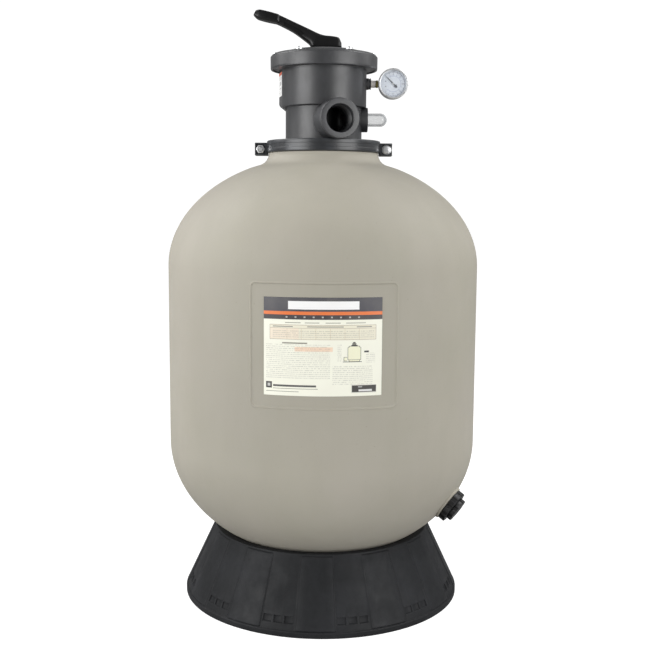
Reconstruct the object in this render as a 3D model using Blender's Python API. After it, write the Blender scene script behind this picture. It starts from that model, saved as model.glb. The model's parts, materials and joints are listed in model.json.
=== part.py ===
"""Top-mount sand filter for a pool: tank, stand, multiport valve, gauge, drain and laterals.

Metres, +Z up. The origin is on the tank's axis at the floor. The front, with the label, faces -Y.
Numbers below are millimetres, and azimuths are degrees from the front (-Y) towards +X.
"""

import math

import bmesh
import bpy
from mathutils import Matrix, Vector

MM = 0.001
ROUND = 40  # sides of the tank's turned pieces
VALVE_ROUND = 30
VALVE_START_DEG = 1.3  # keeps the valve's sides off the corners of the holes cut in them
SMALL_ROUND = 24
TINY_ROUND = 12
SCREW_SIDES = 10
GAP = 0.3  # between two faces that touch

# Tank: a cylinder between two elliptical domes, with a flanged neck.
TANK_R = 260.35
TANK_WALL = 6.0
LOWER_DOME_Z = 268.0
LOWER_DOME_RISE = 200.0
UPPER_DOME_Z = 562.0
UPPER_DOME_RISE = 185.0
UPPER_DOME_END_DEG = 61.8
NECK_R = 92.0
NECK_BORE_R = 76.0
NECK_TOP_Z = 760.0
FLANGE_R = 90.0
FLANGE_Z = 753.5
PANEL_LOW_DEG, PANEL_HIGH_DEG = -23.8, 25.0
PANEL_Z = (367.0, 550.0)
PANEL_DEPTH = 1.0

# Stand: a conical skirt with raised panels, and a dished seat for the tank.
STAND_LIP_R = 235.6
STAND_FOOT_R = 231.5
STAND_FOOT_Z = 12.0
STAND_SLOPE = 0.4676  # radius lost for each millimetre of height
STAND_TOP_Z = 121.5
STAND_PANELS = 12
STAND_PANEL_HALF_DEG = 7.3
STAND_PANEL_RAISE = 2.0
STAND_PHASE_DEG = -2.0
SEAT_GAP = 2.2

# Valve body, cover and clamp, stacked on the neck.
SPIGOT_Z = 738.0
VALVE_FLANGE_Z = (760.3, 767.5)
LOWER_BODY_R = 63.7
LEDGE_Z = 828.5
UPPER_BODY_R = 71.0
PLATE_Z = (822.0, 832.0)
COVER_Z = 886.5
COVER_R = 89.1
BODY_TOP_Z = 897.2
COVER_FACE_Z = 897.5
SCREW_CIRCLE_R = 80.0
SCREW_AZIMUTHS = (-150, -90, -30, 30, 90, 150)
CLAMP_R = 95.0
CLAMP_Z = (750.8, 770.2)
EAR_X = (93.2, 114.8)
EAR_Z = (746.0, 767.0)
EAR_Y = (-13.0, -1.9)
CLAMP_END_DEG = 89.0  # each half ring runs this far to either side of its middle
CLAMP_STEPS = 18
CLAMP_BOLT_X = 105.5
CLAMP_BOLT_Z = 756.5

# Ports: one at the front, two side by side at the back.
PORT_Z = 801.0
PORT_R = 29.8
PORT_BORE_R = 21.5
PORT_REACH = 105.0
FRONT_PORT_AZIMUTH = 14.5
REAR_PORT_X = 30.5

# Rotor, stem and handle.
ROTOR_Z = 835.1
STEM_R = 9.0
STEM_BORE_R = 9.4
STEM_TOP_Z = 935.0
SPRING_SEAT_Z = 862.0
SPRING_TOP_Z = 905.2
PIN_Z = 930.0
CAM_CENTRE_X = -13.3
CAM_R = 11.4
WASHER_Z = (915.5, 918.2)

# Gauge, facing -Y at the end of a stem that runs along +X.
GAUGE_X = 115.2
GAUGE_Z = 865.0
NEEDLE_REST_DEG = 135.0
GEAR_MODULE = 0.5
PINION_TEETH = 10
SECTOR_TEETH = 60

# Sight glass, along +X.
SIGHT_Z = 806.0
SIGHT_R = 10.9
SIGHT_SIDES = 18

# Drain, square to the lower dome.
DRAIN_AZIMUTH = 64.3
DRAIN_Z = 177.0

# Laterals, hinged on a hub at the foot of the centre pipe.
LATERAL_Z = 135.0
LATERALS = 8
LATERAL_PIVOT_R = 36.0
LATERAL_TIP_R = 165.0
LATERAL_ROOT = 12.4  # from the pivot to where the arm widens, so that it clears the hub as it folds
PIPE_R = 24.0

# Label on the recessed panel.
LABEL_LOW_DEG, LABEL_HIGH_DEG = -19.4, 19.8
LABEL_Z = (385.0, 531.0)

# Name: colour, roughness, metallic.
MATERIALS = {
    "tank_plastic": ((0.42, 0.41, 0.35), 0.42, 0.0),
    "stand_plastic": ((0.036, 0.039, 0.042), 0.5, 0.0),
    "valve_plastic": ((0.075, 0.08, 0.088), 0.45, 0.0),
    "clamp_plastic": ((0.09, 0.095, 0.105), 0.5, 0.0),
    "handle_plastic": ((0.009, 0.009, 0.01), 0.2, 0.0),
    "drain_plastic": ((0.01, 0.01, 0.01), 0.4, 0.0),
    "inner_plastic": ((0.6, 0.6, 0.58), 0.5, 0.0),
    "clear_plastic": ((0.9, 0.93, 0.93), 0.08, 0.0),
    "seal_rubber": ((0.015, 0.015, 0.015), 0.7, 0.0),
    "stainless_steel": ((0.62, 0.62, 0.6), 0.25, 1.0),
    "brass": ((0.45, 0.33, 0.12), 0.35, 1.0),
    "thread_tape": ((0.8, 0.78, 0.76), 0.6, 0.0),
    "dial_white": ((0.75, 0.8, 0.88), 0.4, 0.0),
    "needle_black": ((0.01, 0.01, 0.01), 0.4, 0.0),
    "label_film": ((0.75, 0.7, 0.6), 0.4, 0.0),
}


def clear_scene():
    for item in list(bpy.data.objects):
        bpy.data.objects.remove(item, do_unlink=True)


def material(name):
    found = bpy.data.materials.get(name)
    if found:
        return found
    colour, roughness, metallic = MATERIALS[name]
    made = bpy.data.materials.new(name)
    made.use_nodes = True
    shader = made.node_tree.nodes["Principled BSDF"]
    shader.inputs["Base Color"].default_value = (*colour, 1)
    shader.inputs["Roughness"].default_value = roughness
    shader.inputs["Metallic"].default_value = metallic
    return made


# Directions and places.


def heading(azimuth):
    """Level unit vector at an azimuth from the front."""
    angle = math.radians(azimuth)
    return Vector((math.sin(angle), -math.cos(angle), 0))


def along(direction, point=(0, 0, 0)):
    """Matrix that turns +Z to a direction, and then moves the origin to a point in millimetres."""
    turn = Vector(direction).to_track_quat("Z", "Y").to_matrix().to_4x4()
    return Matrix.Translation(Vector(point) * MM) @ turn


def facing_front(point=(0, 0, 0)):
    """Matrix that turns +Z to the front, -Y, and keeps +X."""
    return Matrix.Translation(Vector(point) * MM) @ Matrix.Rotation(math.pi / 2, 4, "X")


def ellipse_radius(rise, height):
    """Radius of the lower dome's ellipse, height above or below its widest ring."""
    return TANK_R * math.sqrt(1 - (height / rise) ** 2)


# Shapes. Each returns a bmesh in metres, made from millimetres.


def faced(points, faces):
    made = bmesh.new()
    corners = [made.verts.new(Vector(point) * MM) for point in points]
    for face in faces:
        made.faces.new([corners[index] for index in face])
    bmesh.ops.recalc_face_normals(made, faces=made.faces)
    return made


def ringed(rings, closed):
    """Skin over rings of points. A ring of one point is a tip; closed joins the last to the first."""
    points = [point for ring in rings for point in ring]
    starts = [sum(len(ring) for ring in rings[:number]) for number in range(len(rings))]
    faces = []
    count = len(rings)
    for number in range(count if closed else count - 1):
        here, after = number, (number + 1) % count
        sides = max(len(rings[here]), len(rings[after]))
        if sides == 1:
            continue
        for side in range(sides):
            step = (side + 1) % sides
            if len(rings[here]) == 1:
                face = (starts[here], starts[after] + side, starts[after] + step)
            elif len(rings[after]) == 1:
                face = (starts[here] + side, starts[after], starts[here] + step)
            else:
                face = (
                    starts[here] + side,
                    starts[after] + side,
                    starts[after] + step,
                    starts[here] + step,
                )
            faces.append(face)
    if not closed:
        for number in (0, count - 1):
            if len(rings[number]) > 1:
                faces.append([starts[number] + side for side in range(len(rings[number]))])
    return faced(points, faces)


def circle(radius, height, sides, start_deg=0.0):
    if radius == 0:
        return [(0, 0, height)]
    turns = [math.radians(start_deg) + math.tau * side / sides for side in range(sides)]
    return [(radius * math.cos(turn), radius * math.sin(turn), height) for turn in turns]


def turned(outline, sides=ROUND, start_deg=0.0):
    """Turn (radius, height) points about Z. One that starts and ends on the axis is a solid, others are rings."""
    on_axis = outline[0][0] == 0 and outline[-1][0] == 0
    rings = [circle(radius, height, sides, start_deg) for radius, height in outline]
    return ringed(rings, closed=not on_axis)


def rod(radius, low, high, sides=SMALL_ROUND):
    return ringed([circle(radius, low, sides), circle(radius, high, sides)], False)


def valve_turned(outline):
    return turned(outline, VALVE_ROUND, VALVE_START_DEG)


def torus(major, minor, height, sides=VALVE_ROUND, round_sides=5):
    turns = [math.tau * side / round_sides for side in range(round_sides)]
    outline = [(major + minor * math.cos(turn), height + minor * math.sin(turn)) for turn in turns]
    return turned(outline, sides)


def prism(outline, low, high):
    """Extrude (x, y) points along Z."""
    return ringed([[(x, y, height) for x, y in outline] for height in (low, high)], False)


def box(low, high):
    outline = [(low[0], low[1]), (high[0], low[1]), (high[0], high[1]), (low[0], high[1])]
    return prism(outline, low[2], high[2])


def sector(inner, outer, low_deg, high_deg, low, high, step_deg=7.5):
    """Part of a flat ring between two azimuths."""
    steps = max(2, math.ceil((high_deg - low_deg) / step_deg) + 1)
    azimuths = [low_deg + (high_deg - low_deg) * step / (steps - 1) for step in range(steps)]
    outline = [heading(azimuth) * outer for azimuth in azimuths]
    outline += [heading(azimuth) * inner for azimuth in reversed(azimuths)]
    return prism([(point.x, point.y) for point in outline], low, high)


def hull(points):
    made = bmesh.new()
    for point in points:
        made.verts.new(Vector(point) * MM)
    bmesh.ops.convex_hull(made, input=made.verts)
    bmesh.ops.recalc_face_normals(made, faces=made.faces)
    return made


def squarish(half_width, half_height, sides=10, power=0.55):
    """Points of a rounded rectangle, as (across, up)."""
    points = []
    for side in range(sides):
        turn = math.tau * (side + 0.5) / sides
        across, up = math.cos(turn), math.sin(turn)
        across = math.copysign(abs(across) ** power, across) * half_width
        up = math.copysign(abs(up) ** power, up) * half_height
        points.append((across, up))
    return points


def placed(shape, matrix):
    bmesh.ops.transform(shape, matrix=matrix, verts=shape.verts)
    return shape


def together(shapes):
    """One bmesh that holds several shapes, which don't touch."""
    whole = bmesh.new()
    for shape in shapes:
        mesh = bpy.data.meshes.new("piece")
        shape.to_mesh(mesh)
        shape.free()
        whole.from_mesh(mesh)
        bpy.data.meshes.remove(mesh)
    return whole


# Objects.


def solid(name, shape, material_name, origin=Matrix.Identity(4), smooth_deg=35):
    """Object of a shape given in the tank's frame, with its own origin."""
    placed(shape, origin.inverted())
    mesh = bpy.data.meshes.new(name)
    shape.to_mesh(mesh)
    shape.free()
    mesh.materials.append(material(material_name))
    mesh.shade_smooth()
    mesh.set_sharp_from_angle(angle=math.radians(smooth_deg))
    made = bpy.data.objects.new(name, mesh)
    made.matrix_world = origin
    bpy.context.collection.objects.link(made)
    return made


def combine(target, shape, operation):
    mesh = bpy.data.meshes.new(f"{target.name}_{operation.lower()}")
    shape.to_mesh(mesh)
    shape.free()
    other = bpy.data.objects.new(mesh.name, mesh)
    other.hide_render = True
    other.display_type = "WIRE"
    bpy.context.collection.objects.link(other)
    modifier = target.modifiers.new(operation.title(), "BOOLEAN")
    modifier.operation = operation
    modifier.solver = "EXACT"
    modifier.object = other


def join(target, shape):
    combine(target, shape, "UNION")


def cut(target, shape):
    combine(target, shape, "DIFFERENCE")


# The drain's axis, square to the lower dome.

DRAIN_R = ellipse_radius(LOWER_DOME_RISE, DRAIN_Z - LOWER_DOME_Z)
DRAIN_SLOPE = Vector((DRAIN_R / TANK_R**2, (DRAIN_Z - LOWER_DOME_Z) / LOWER_DOME_RISE**2)).normalized()
DRAIN_AXIS = heading(DRAIN_AZIMUTH) * DRAIN_SLOPE.x + Vector((0, 0, DRAIN_SLOPE.y))
DRAIN_POINT = heading(DRAIN_AZIMUTH) * DRAIN_R + Vector((0, 0, DRAIN_Z))
DRAIN_FRAME = along(DRAIN_AXIS, DRAIN_POINT)
DRAIN_PAD_R = 30.0
DRAIN_PAD = (-12.5, 2.0)
DRAIN_HOLE_R = 20.3


def arc(radius, rise, centre_z, low_deg, high_deg, steps):
    """Points of an ellipse's arc, as (radius, height)."""
    angles = [math.radians(low_deg + (high_deg - low_deg) * step / steps) for step in range(steps + 1)]
    return [(radius * math.cos(angle), centre_z + rise * math.sin(angle)) for angle in angles]


def tank_shell():
    outer = [(0, LOWER_DOME_Z - LOWER_DOME_RISE)]
    outer += arc(TANK_R, LOWER_DOME_RISE, LOWER_DOME_Z, -90, 0, 7)[1:]
    outer += arc(TANK_R, UPPER_DOME_RISE, UPPER_DOME_Z, 0, UPPER_DOME_END_DEG, 5)
    outer += [(110, 731.5), (98, 738.5), (NECK_R, 745), (NECK_R, 750.3)]
    outer += [(84, 750.3), (84, FLANGE_Z), (FLANGE_R, FLANGE_Z), (FLANGE_R, NECK_TOP_Z)]
    seat = [(82, NECK_TOP_Z), (82, 755), (NECK_BORE_R, 755), (NECK_BORE_R, 743), (80, 737), (90, 731)]
    inner_r = TANK_R - TANK_WALL
    inner = arc(inner_r, UPPER_DOME_RISE - TANK_WALL, UPPER_DOME_Z, UPPER_DOME_END_DEG - 1, 0, 3)
    inner += arc(inner_r, LOWER_DOME_RISE - TANK_WALL, LOWER_DOME_Z, 0, -90, 6)[:-1]
    inner += [(0, LOWER_DOME_Z - LOWER_DOME_RISE + TANK_WALL)]
    shell = solid("tank_shell", turned(outer + seat + inner), "tank_plastic")
    join(shell, placed(rod(DRAIN_PAD_R, *DRAIN_PAD), DRAIN_FRAME))
    cut(shell, placed(rod(DRAIN_HOLE_R, -30, 20), DRAIN_FRAME))
    floor_r = TANK_R - PANEL_DEPTH
    cut(shell, sector(floor_r, TANK_R + 5, PANEL_LOW_DEG, PANEL_HIGH_DEG, *PANEL_Z, step_deg=5))


def tank_label():
    inner = TANK_R - PANEL_DEPTH + GAP
    sheet = sector(inner, inner + 0.4, LABEL_LOW_DEG, LABEL_HIGH_DEG, *LABEL_Z, step_deg=5)
    solid("tank_label", sheet, "label_film")


def stand_ring(height, radius, raised):
    """One ring of the skirt, pushed out on the raised panels."""
    half = STAND_PANEL_HALF_DEG
    columns = ((-half - 0.5, 0), (-half, 1), (half, 1), (half + 0.5, 0), (15, 0))
    ring = []
    for panel in range(STAND_PANELS):
        for offset, level in columns:
            reach = radius + level * raised * STAND_PANEL_RAISE
            point = heading(STAND_PHASE_DEG + 360 / STAND_PANELS * panel + offset) * reach
            ring.append((point.x, point.y, height))
    return ring


def tank_stand():
    def skirt(height):
        return STAND_FOOT_R - (height - STAND_FOOT_Z) * STAND_SLOPE

    def seat(height):
        return ellipse_radius(LOWER_DOME_RISE, height - LOWER_DOME_Z) + SEAT_GAP

    outline = [(228, 0, 0), (STAND_LIP_R, 0, 0), (STAND_LIP_R, 8.5, 0), (STAND_LIP_R - 1.2, 10, 0)]
    outline += [(skirt(10.6), 10.6, 1), (skirt(113), 113, 1), (184.2, 114.5, 0)]
    outline += [(182.5, STAND_TOP_Z, 0)]
    outline += [(seat(height), height, 0) for height in (STAND_TOP_Z, 111, 101)]
    outline += [(146, 97, 0), (179.5, 111, 0), (228, 8, 0)]
    rings = [stand_ring(height, radius, raised) for radius, height, raised in outline]
    solid("tank_stand", ringed(rings, closed=True), "stand_plastic")


def centre_pipe():
    wall = [(PIPE_R - 3, 120), (PIPE_R, 120), (PIPE_R, 790), (PIPE_R - 3, 790)]
    solid("centre_pipe", turned(wall, SMALL_ROUND), "inner_plastic")


def lateral_hub():
    outline = [(0, 112), (30, 112), (44, 122), (44, 143), (24.6, 143), (24.6, 119.5), (0, 119.5)]
    hub = solid("lateral_hub", turned(outline, SMALL_ROUND), "inner_plastic")
    slots = []
    for number in range(LATERALS):
        slot = box((29.5, -3.6, 127.5), (48, 3.6, 146))
        slots.append(placed(slot, Matrix.Rotation(lateral_turn(number), 4, "Z")))
    cut(hub, together(slots))


def lateral_turn(number):
    return math.tau * (number + 0.5) / LATERALS


def laterals():
    """Arms that fold up about a pivot in the hub, with a narrow root; they share one mesh."""
    stations = [(-4.5, 2.2, 3.2), (-3, 3, 5), (LATERAL_ROOT, 3, 5)]
    stations += [(LATERAL_ROOT, 9, 9), (124, 9, 9), (LATERAL_TIP_R - LATERAL_PIVOT_R, 4, 4)]
    rings = []
    for number, (reach, half_width, half_height) in enumerate(stations):
        power = 0.55 if number < 3 else 1.0
        rings.append([(reach, a, b) for a, b in squarish(half_width, half_height, power=power)])
    first = solid("lateral_1", ringed(rings, closed=False), "inner_plastic")
    for number in range(LATERALS):
        arm = first
        if number:
            arm = bpy.data.objects.new(f"lateral_{number + 1}", first.data)
            bpy.context.collection.objects.link(arm)
        turn = Matrix.Rotation(lateral_turn(number), 4, "Z")
        arm.matrix_world = turn @ Matrix.Translation(Vector((LATERAL_PIVOT_R, 0, LATERAL_Z)) * MM)


def top_diffuser():
    tray = [(27, 700), (45, 700), (66, 715), (66, 737.4), (63.5, 737.4), (63.5, 716.5), (44, 702.5)]
    tray += [(27, 702.5)]
    solid("top_diffuser", turned(tray, SMALL_ROUND), "inner_plastic")


def drain():
    def fitting(name, shape, material_name):
        solid(name, placed(shape, DRAIN_FRAME), material_name, DRAIN_FRAME)

    body = [(13.5, -19), (27, -19), (27, -15.1), (19.9, -15.1), (19.9, 13.4), (17, 13.4), (17, 16.8)]
    fitting("drain_body", turned(body + [(13.5, 16.8)], SMALL_ROUND), "drain_plastic")
    gasket = [(20.5, -14.8), (27, -14.8), (27, -12.8), (20.5, -12.8)]
    fitting("drain_gasket", turned(gasket, SMALL_ROUND), "seal_rubber")
    fitting("drain_ring_nut", lobed_ring(27.8, 1.6, 20.3, 2.4, 13.3, 12), "drain_plastic")
    fitting("drain_cap_seal", torus(15.25, 0.75, 17.85, SMALL_ROUND, 5), "seal_rubber")
    screen = [(0, -54), (16, -54), (16, -19.3), (13.5, -19.3), (13.5, -51.5), (0, -51.5)]
    fitting("drain_screen", turned(screen, SMALL_ROUND), "inner_plastic")
    fitting("drain_cap", drain_cap_shape(), "drain_plastic")


def lobe_circle(radius, depth, height, lobes):
    """Ring of four points to each lobe: two out, two in."""
    ring = []
    for lobe in range(lobes):
        for offset, drop in ((-0.3, 0), (0.2, 0), (0.35, depth), (0.55, depth)):
            turn = math.tau * (lobe + offset) / lobes
            reach = radius - drop
            ring.append((reach * math.cos(turn), reach * math.sin(turn), height))
    return ring


def lobed_ring(radius, depth, bore, low, high, lobes):
    """Nut with grip lobes around a round bore."""
    sides = lobes * 4
    rings = [circle(bore, low, sides), lobe_circle(radius, depth, low, lobes)]
    rings += [lobe_circle(radius, depth, high, lobes), circle(bore, high, sides)]
    return ringed(rings, closed=True)


def drain_cap_shape():
    """Cap with grip lobes, a skirt over the drain body's end and a closed top."""
    lobes = 8
    rings = [[(0, 0, 18.9)], circle(17.5, 18.9, lobes * 4), circle(17.5, 13.9, lobes * 4)]
    rings += [lobe_circle(20.4, 1.6, height, lobes) for height in (13.9, 20.4)]
    rings += [lobe_circle(19, 1.6, 21.4, lobes), [(0, 0, 21.4)]]
    return ringed(rings, closed=False)


def clamp_half(name, turn):
    """Half of the ring that grips both flanges, with a nut pocket at -X and a bolt seat at +X."""
    low, high = CLAMP_Z
    section = [(85, low), (CLAMP_R - 0.8, low), (CLAMP_R, low + 0.8), (CLAMP_R, high - 0.8)]
    section += [(CLAMP_R - 0.8, high), (85, high), (85, 767.9), (90.6, 767.9), (90.6, 753.1), (85, 753.1)]
    rings = []
    for step in range(CLAMP_STEPS + 1):
        out = heading(CLAMP_END_DEG * (2 * step / CLAMP_STEPS - 1))
        rings.append([out * radius + Vector((0, 0, height)) for radius, height in section])
    half = solid(name, placed(ringed(rings, closed=False), turn), "clamp_plastic")
    ears = []
    for side in (-1, 1):
        reach = sorted((side * EAR_X[0], side * EAR_X[1]))
        ears.append(box((reach[0], EAR_Y[0], EAR_Z[0]), (reach[1], EAR_Y[1], EAR_Z[1])))
    join(half, placed(together(ears), turn))
    bolt_seat = box((97.5, -20, 748.6), (120, -7, 764.4))
    nut_pocket = box((-113.2, -20, 748.6), (-97.5, -7, 764.4))
    cut(half, placed(together([bolt_seat, nut_pocket]), turn))
    holes = [
        placed(rod(4.4, -20, 20, TINY_ROUND), facing_front((side * CLAMP_BOLT_X, 0, CLAMP_BOLT_Z)))
        for side in (-1, 1)
    ]
    cut(half, placed(together(holes), turn))


def clamp_bolt(side, turn):
    """Hex-headed bolt along Y with its head at the front before it is turned, and its nut."""
    frame = facing_front((CLAMP_BOLT_X, 0, CLAMP_BOLT_Z))
    head = [circle(0, 12.4, 6), circle(7.5, 12.4, 6), circle(7.5, 7.3, 6), circle(4, 7.3, 6)]
    shape = ringed(head + [circle(4, -12.8, 6), circle(0, -12.8, 6)], closed=False)
    solid(f"clamp_bolt_{side}", placed(placed(shape, frame), turn), "stainless_steel")
    nut = ringed([circle(r, z, 6) for r, z in ((4.6, -12), (7.5, -12), (7.5, -7.3), (4.6, -7.3))], True)
    solid(f"clamp_nut_{side}", placed(placed(nut, frame), turn), "stainless_steel")


def clamp():
    whole, half_turn = Matrix.Identity(4), Matrix.Rotation(math.pi, 4, "Z")
    clamp_half("clamp_front", whole)
    clamp_half("clamp_rear", half_turn)
    clamp_bolt("right", whole)
    clamp_bolt("left", half_turn)
    solid("neck_o_ring", torus(79, 2.2, 757.6), "seal_rubber")


def front_port_frame():
    return along(heading(FRONT_PORT_AZIMUTH), (0, 0, PORT_Z))


def rear_port_frame(side):
    return along((0, 1, 0), (side * REAR_PORT_X, 0, PORT_Z))


def windows(low, high, azimuths, width_deg=44):
    """Sector openings between the rotor's chamber and the ports' chambers."""
    half = width_deg / 2
    return together([sector(34, 55, azimuth - half, azimuth + half, low, high, 22) for azimuth in azimuths])


def screw_holes(radius, low, high):
    places = [heading(azimuth) * SCREW_CIRCLE_R for azimuth in SCREW_AZIMUTHS]
    return together([
        placed(rod(radius, low, high, SCREW_SIDES), Matrix.Translation(place * MM)) for place in places
    ])


def valve_body():
    outline = [(0, SPIGOT_Z), (75, SPIGOT_Z), (75, VALVE_FLANGE_Z[0]), (FLANGE_R, VALVE_FLANGE_Z[0])]
    outline += [(FLANGE_R, VALVE_FLANGE_Z[1]), (65, VALVE_FLANGE_Z[1]), (LOWER_BODY_R, 769)]
    outline += [(LOWER_BODY_R, LEDGE_Z), (UPPER_BODY_R, LEDGE_Z), (UPPER_BODY_R, 888), (84, 888)]
    outline += [(84, BODY_TOP_Z), (0, BODY_TOP_Z)]
    body = solid("valve_body", valve_turned(outline), "valve_plastic")
    across = along((1, 0, 0), (0, 0, SIGHT_Z))
    gauge_line = along((1, 0, 0), (0, 0, GAUGE_Z))
    bosses = [placed(rod(20.2, 40, 73.6), across), placed(rod(9.5, 60, 78.3), gauge_line)]
    join(body, together(bosses))
    riser = [(x, y, z) for x, y in ((-76, 25), (-68.2, -19), (-45, -19), (-45, 25)) for z in (830.5, 888.6)]
    riser += [(x, y, 819.5) for x in (-62.5, -45) for y in (-15, 22)]
    join(body, hull(riser))
    lower = [(30, 730), (68, 730), (68, 758), (58, 766), (58, PLATE_Z[0]), (30, PLATE_Z[0])]
    upper = [(0, 730), (24.8, 730), (24.8, PLATE_Z[1]), (66, PLATE_Z[1]), (66, 905), (0, 905)]
    groove = [(68, 893.8), (72, 893.8), (72, 905), (68, 905)]
    half_side = VALVE_START_DEG + 180 / VALVE_ROUND
    cut(body, together([turned(outline, VALVE_ROUND, half_side) for outline in (lower, upper, groove)]))
    cut(body, windows(815, 840, range(0, 360, 60)))
    ribs = []
    for azimuth in (130, 180, -60):
        rib = box((28.5, -1.5, 770), (59.5, 1.5, PLATE_Z[0] + 1))
        ribs.append(placed(rib, Matrix.Rotation(math.radians(azimuth - 90), 4, "Z")))
    join(body, together(ribs))
    bores = [placed(rod(PORT_BORE_R, 42, 120), front_port_frame())]
    bores += [placed(rod(PORT_BORE_R, 34, 120), rear_port_frame(side)) for side in (-1, 1)]
    sight_bore = [(0, 40), (7, 40), (7, 60), (11.4, 60), (11.4, 80), (0, 80)]
    bores += [placed(turned(sight_bore, SMALL_ROUND), across), placed(rod(5.7, 60, 85), gauge_line)]
    cut(body, together(bores + [screw_holes(2.7, 880, 900)]))


def port_tubes():
    """The three moulded ports, each from just off the body's wall to its end face."""
    wall_r, upper_r, ledge = LOWER_BODY_R + GAP, UPPER_BODY_R + GAP, LEDGE_Z - GAP
    wall = [(0, SPIGOT_Z), (wall_r, SPIGOT_Z), (wall_r, ledge), (upper_r, ledge)]
    wall += [(upper_r, BODY_TOP_Z), (0, BODY_TOP_Z)]
    frames = {"waste": front_port_frame(), "pump": rear_port_frame(-1), "return": rear_port_frame(1)}
    for name, frame in frames.items():
        tube = solid(f"{name}_port_tube", placed(rod(PORT_R, 15, PORT_REACH), frame), "valve_plastic")
        bore = placed(rod(PORT_BORE_R, 0, PORT_REACH + 15), frame)
        cut(tube, valve_turned(wall))
        cut(tube, bore)


def valve_label():
    """Sheet on the riser's slanted face."""
    frame = along(Vector((-44, -7.8, 0)), (-72.1, 3, 863.5))
    sheet = placed(box((-17, -19.5, GAP), (17, 19.5, GAP + 0.4)), upright(frame))
    solid("valve_label", sheet, "label_film")


def upright(frame):
    """The same place and +Z, turned so that local +Y is up."""
    out = frame.to_3x3().col[2].normalized()
    up = Vector((0, 0, 1))
    turn = Matrix((up.cross(out), up, out)).transposed().to_4x4()
    return Matrix.Translation(frame.translation) @ turn


def valve_cover():
    outline = [(STEM_BORE_R, 884), (15, 884), (15, 905.5), (58, 905.5), (62, 901), (62, 893), (65.6, 893)]
    outline += [(65.6, COVER_FACE_Z), (84.6, COVER_FACE_Z), (84.6, COVER_Z), (88.3, COVER_Z)]
    outline += [(COVER_R, COVER_Z + 0.8), (COVER_R, 907), (87.5, 909.5), (85, 911), (75, 911)]
    outline += [(61, 916.5), (26, 917), (26, 915.2), (STEM_BORE_R, 915.2)]
    cover = solid("valve_cover", valve_turned(outline), "valve_plastic")
    cut(cover, screw_holes(2.8, 890, 920))
    notches = []
    for azimuth in SCREW_AZIMUTHS:
        notch = box((30, -1.5, 915.4), (57, 1.5, 920))
        notches.append(placed(notch, Matrix.Rotation(math.radians(azimuth - 90), 4, "Z")))
    cut(cover, together(notches))
    solid("cover_o_ring", torus(70, 1.55, 895.45), "seal_rubber")


def cover_screws():
    outline = [(0, 889), (2.4, 889), (2.4, 911.3), (4.6, 911.3), (4.2, 914), (0, 914.4)]
    for number, azimuth in enumerate(SCREW_AZIMUTHS, 1):
        origin = Matrix.Translation(heading(azimuth) * SCREW_CIRCLE_R * MM)
        solid(f"cover_screw_{number}", placed(turned(outline, SCREW_SIDES), origin), "stainless_steel", origin)


def valve_rotor():
    outline = [(0, ROTOR_Z), (64.3, ROTOR_Z), (64.3, 844), (60, 847), (28, 860), (28, SPRING_SEAT_Z)]
    outline += [(STEM_R, SPRING_SEAT_Z), (STEM_R, 897.6), (7, 897.6), (7, 900.4), (STEM_R, 900.4)]
    outline += [(STEM_R, STEM_TOP_Z), (0, STEM_TOP_Z)]
    rotor = solid("valve_rotor", valve_turned(outline), "inner_plastic")
    cut(rotor, windows(830, 870, (90,)))
    cut(rotor, sector(34, 55, 152, 268, 830, 842, 20))
    cut(rotor, together([box((-12, side - 7, 912), (12, side + 7, 940)) for side in (-12, 12)]))
    cut(rotor, together([box((side - 5, -12, 912), (side + 5, 12, 940)) for side in (-12, 12)]))
    cut(rotor, placed(rod(2.3, -12, 12, TINY_ROUND), facing_front((0, 0, PIN_Z))))
    solid("stem_o_ring", torus(8.15, 0.85, 899, SMALL_ROUND, 5), "seal_rubber")


def spider_gasket():
    ring = [(25.5, 832.3), (64, 832.3), (64, 834.8), (25.5, 834.8)]
    gasket = solid("spider_gasket", valve_turned(ring), "seal_rubber")
    cut(gasket, windows(825, 840, range(0, 360, 60)))


def valve_spring():
    """Helix with level ends, closed over its last half turns."""
    turns, wire, radius, steps = 4, 2.0, 20.5, 12
    low, high = SPRING_SEAT_Z + GAP + wire, SPRING_TOP_Z - wire
    rings = []
    for step in range(turns * steps + 1):
        share = step / (turns * steps)
        turn = math.tau * turns * share
        height = low + (high - low) * share
        out = Vector((math.cos(turn), math.sin(turn), 0))
        centre = out * radius + Vector((0, 0, height))
        corners = [math.tau * side / 5 for side in range(5)]
        rings.append([centre + out * wire * math.cos(a) + Vector((0, 0, wire * math.sin(a))) for a in corners])
    solid("valve_spring", ringed(rings, closed=False), "stainless_steel")


def handle_washer():
    ring = [(9.6, WASHER_Z[0]), (25, WASHER_Z[0]), (25, WASHER_Z[1]), (9.6, WASHER_Z[1])]
    solid("handle_washer", turned(ring, SMALL_ROUND), "stainless_steel")


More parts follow.
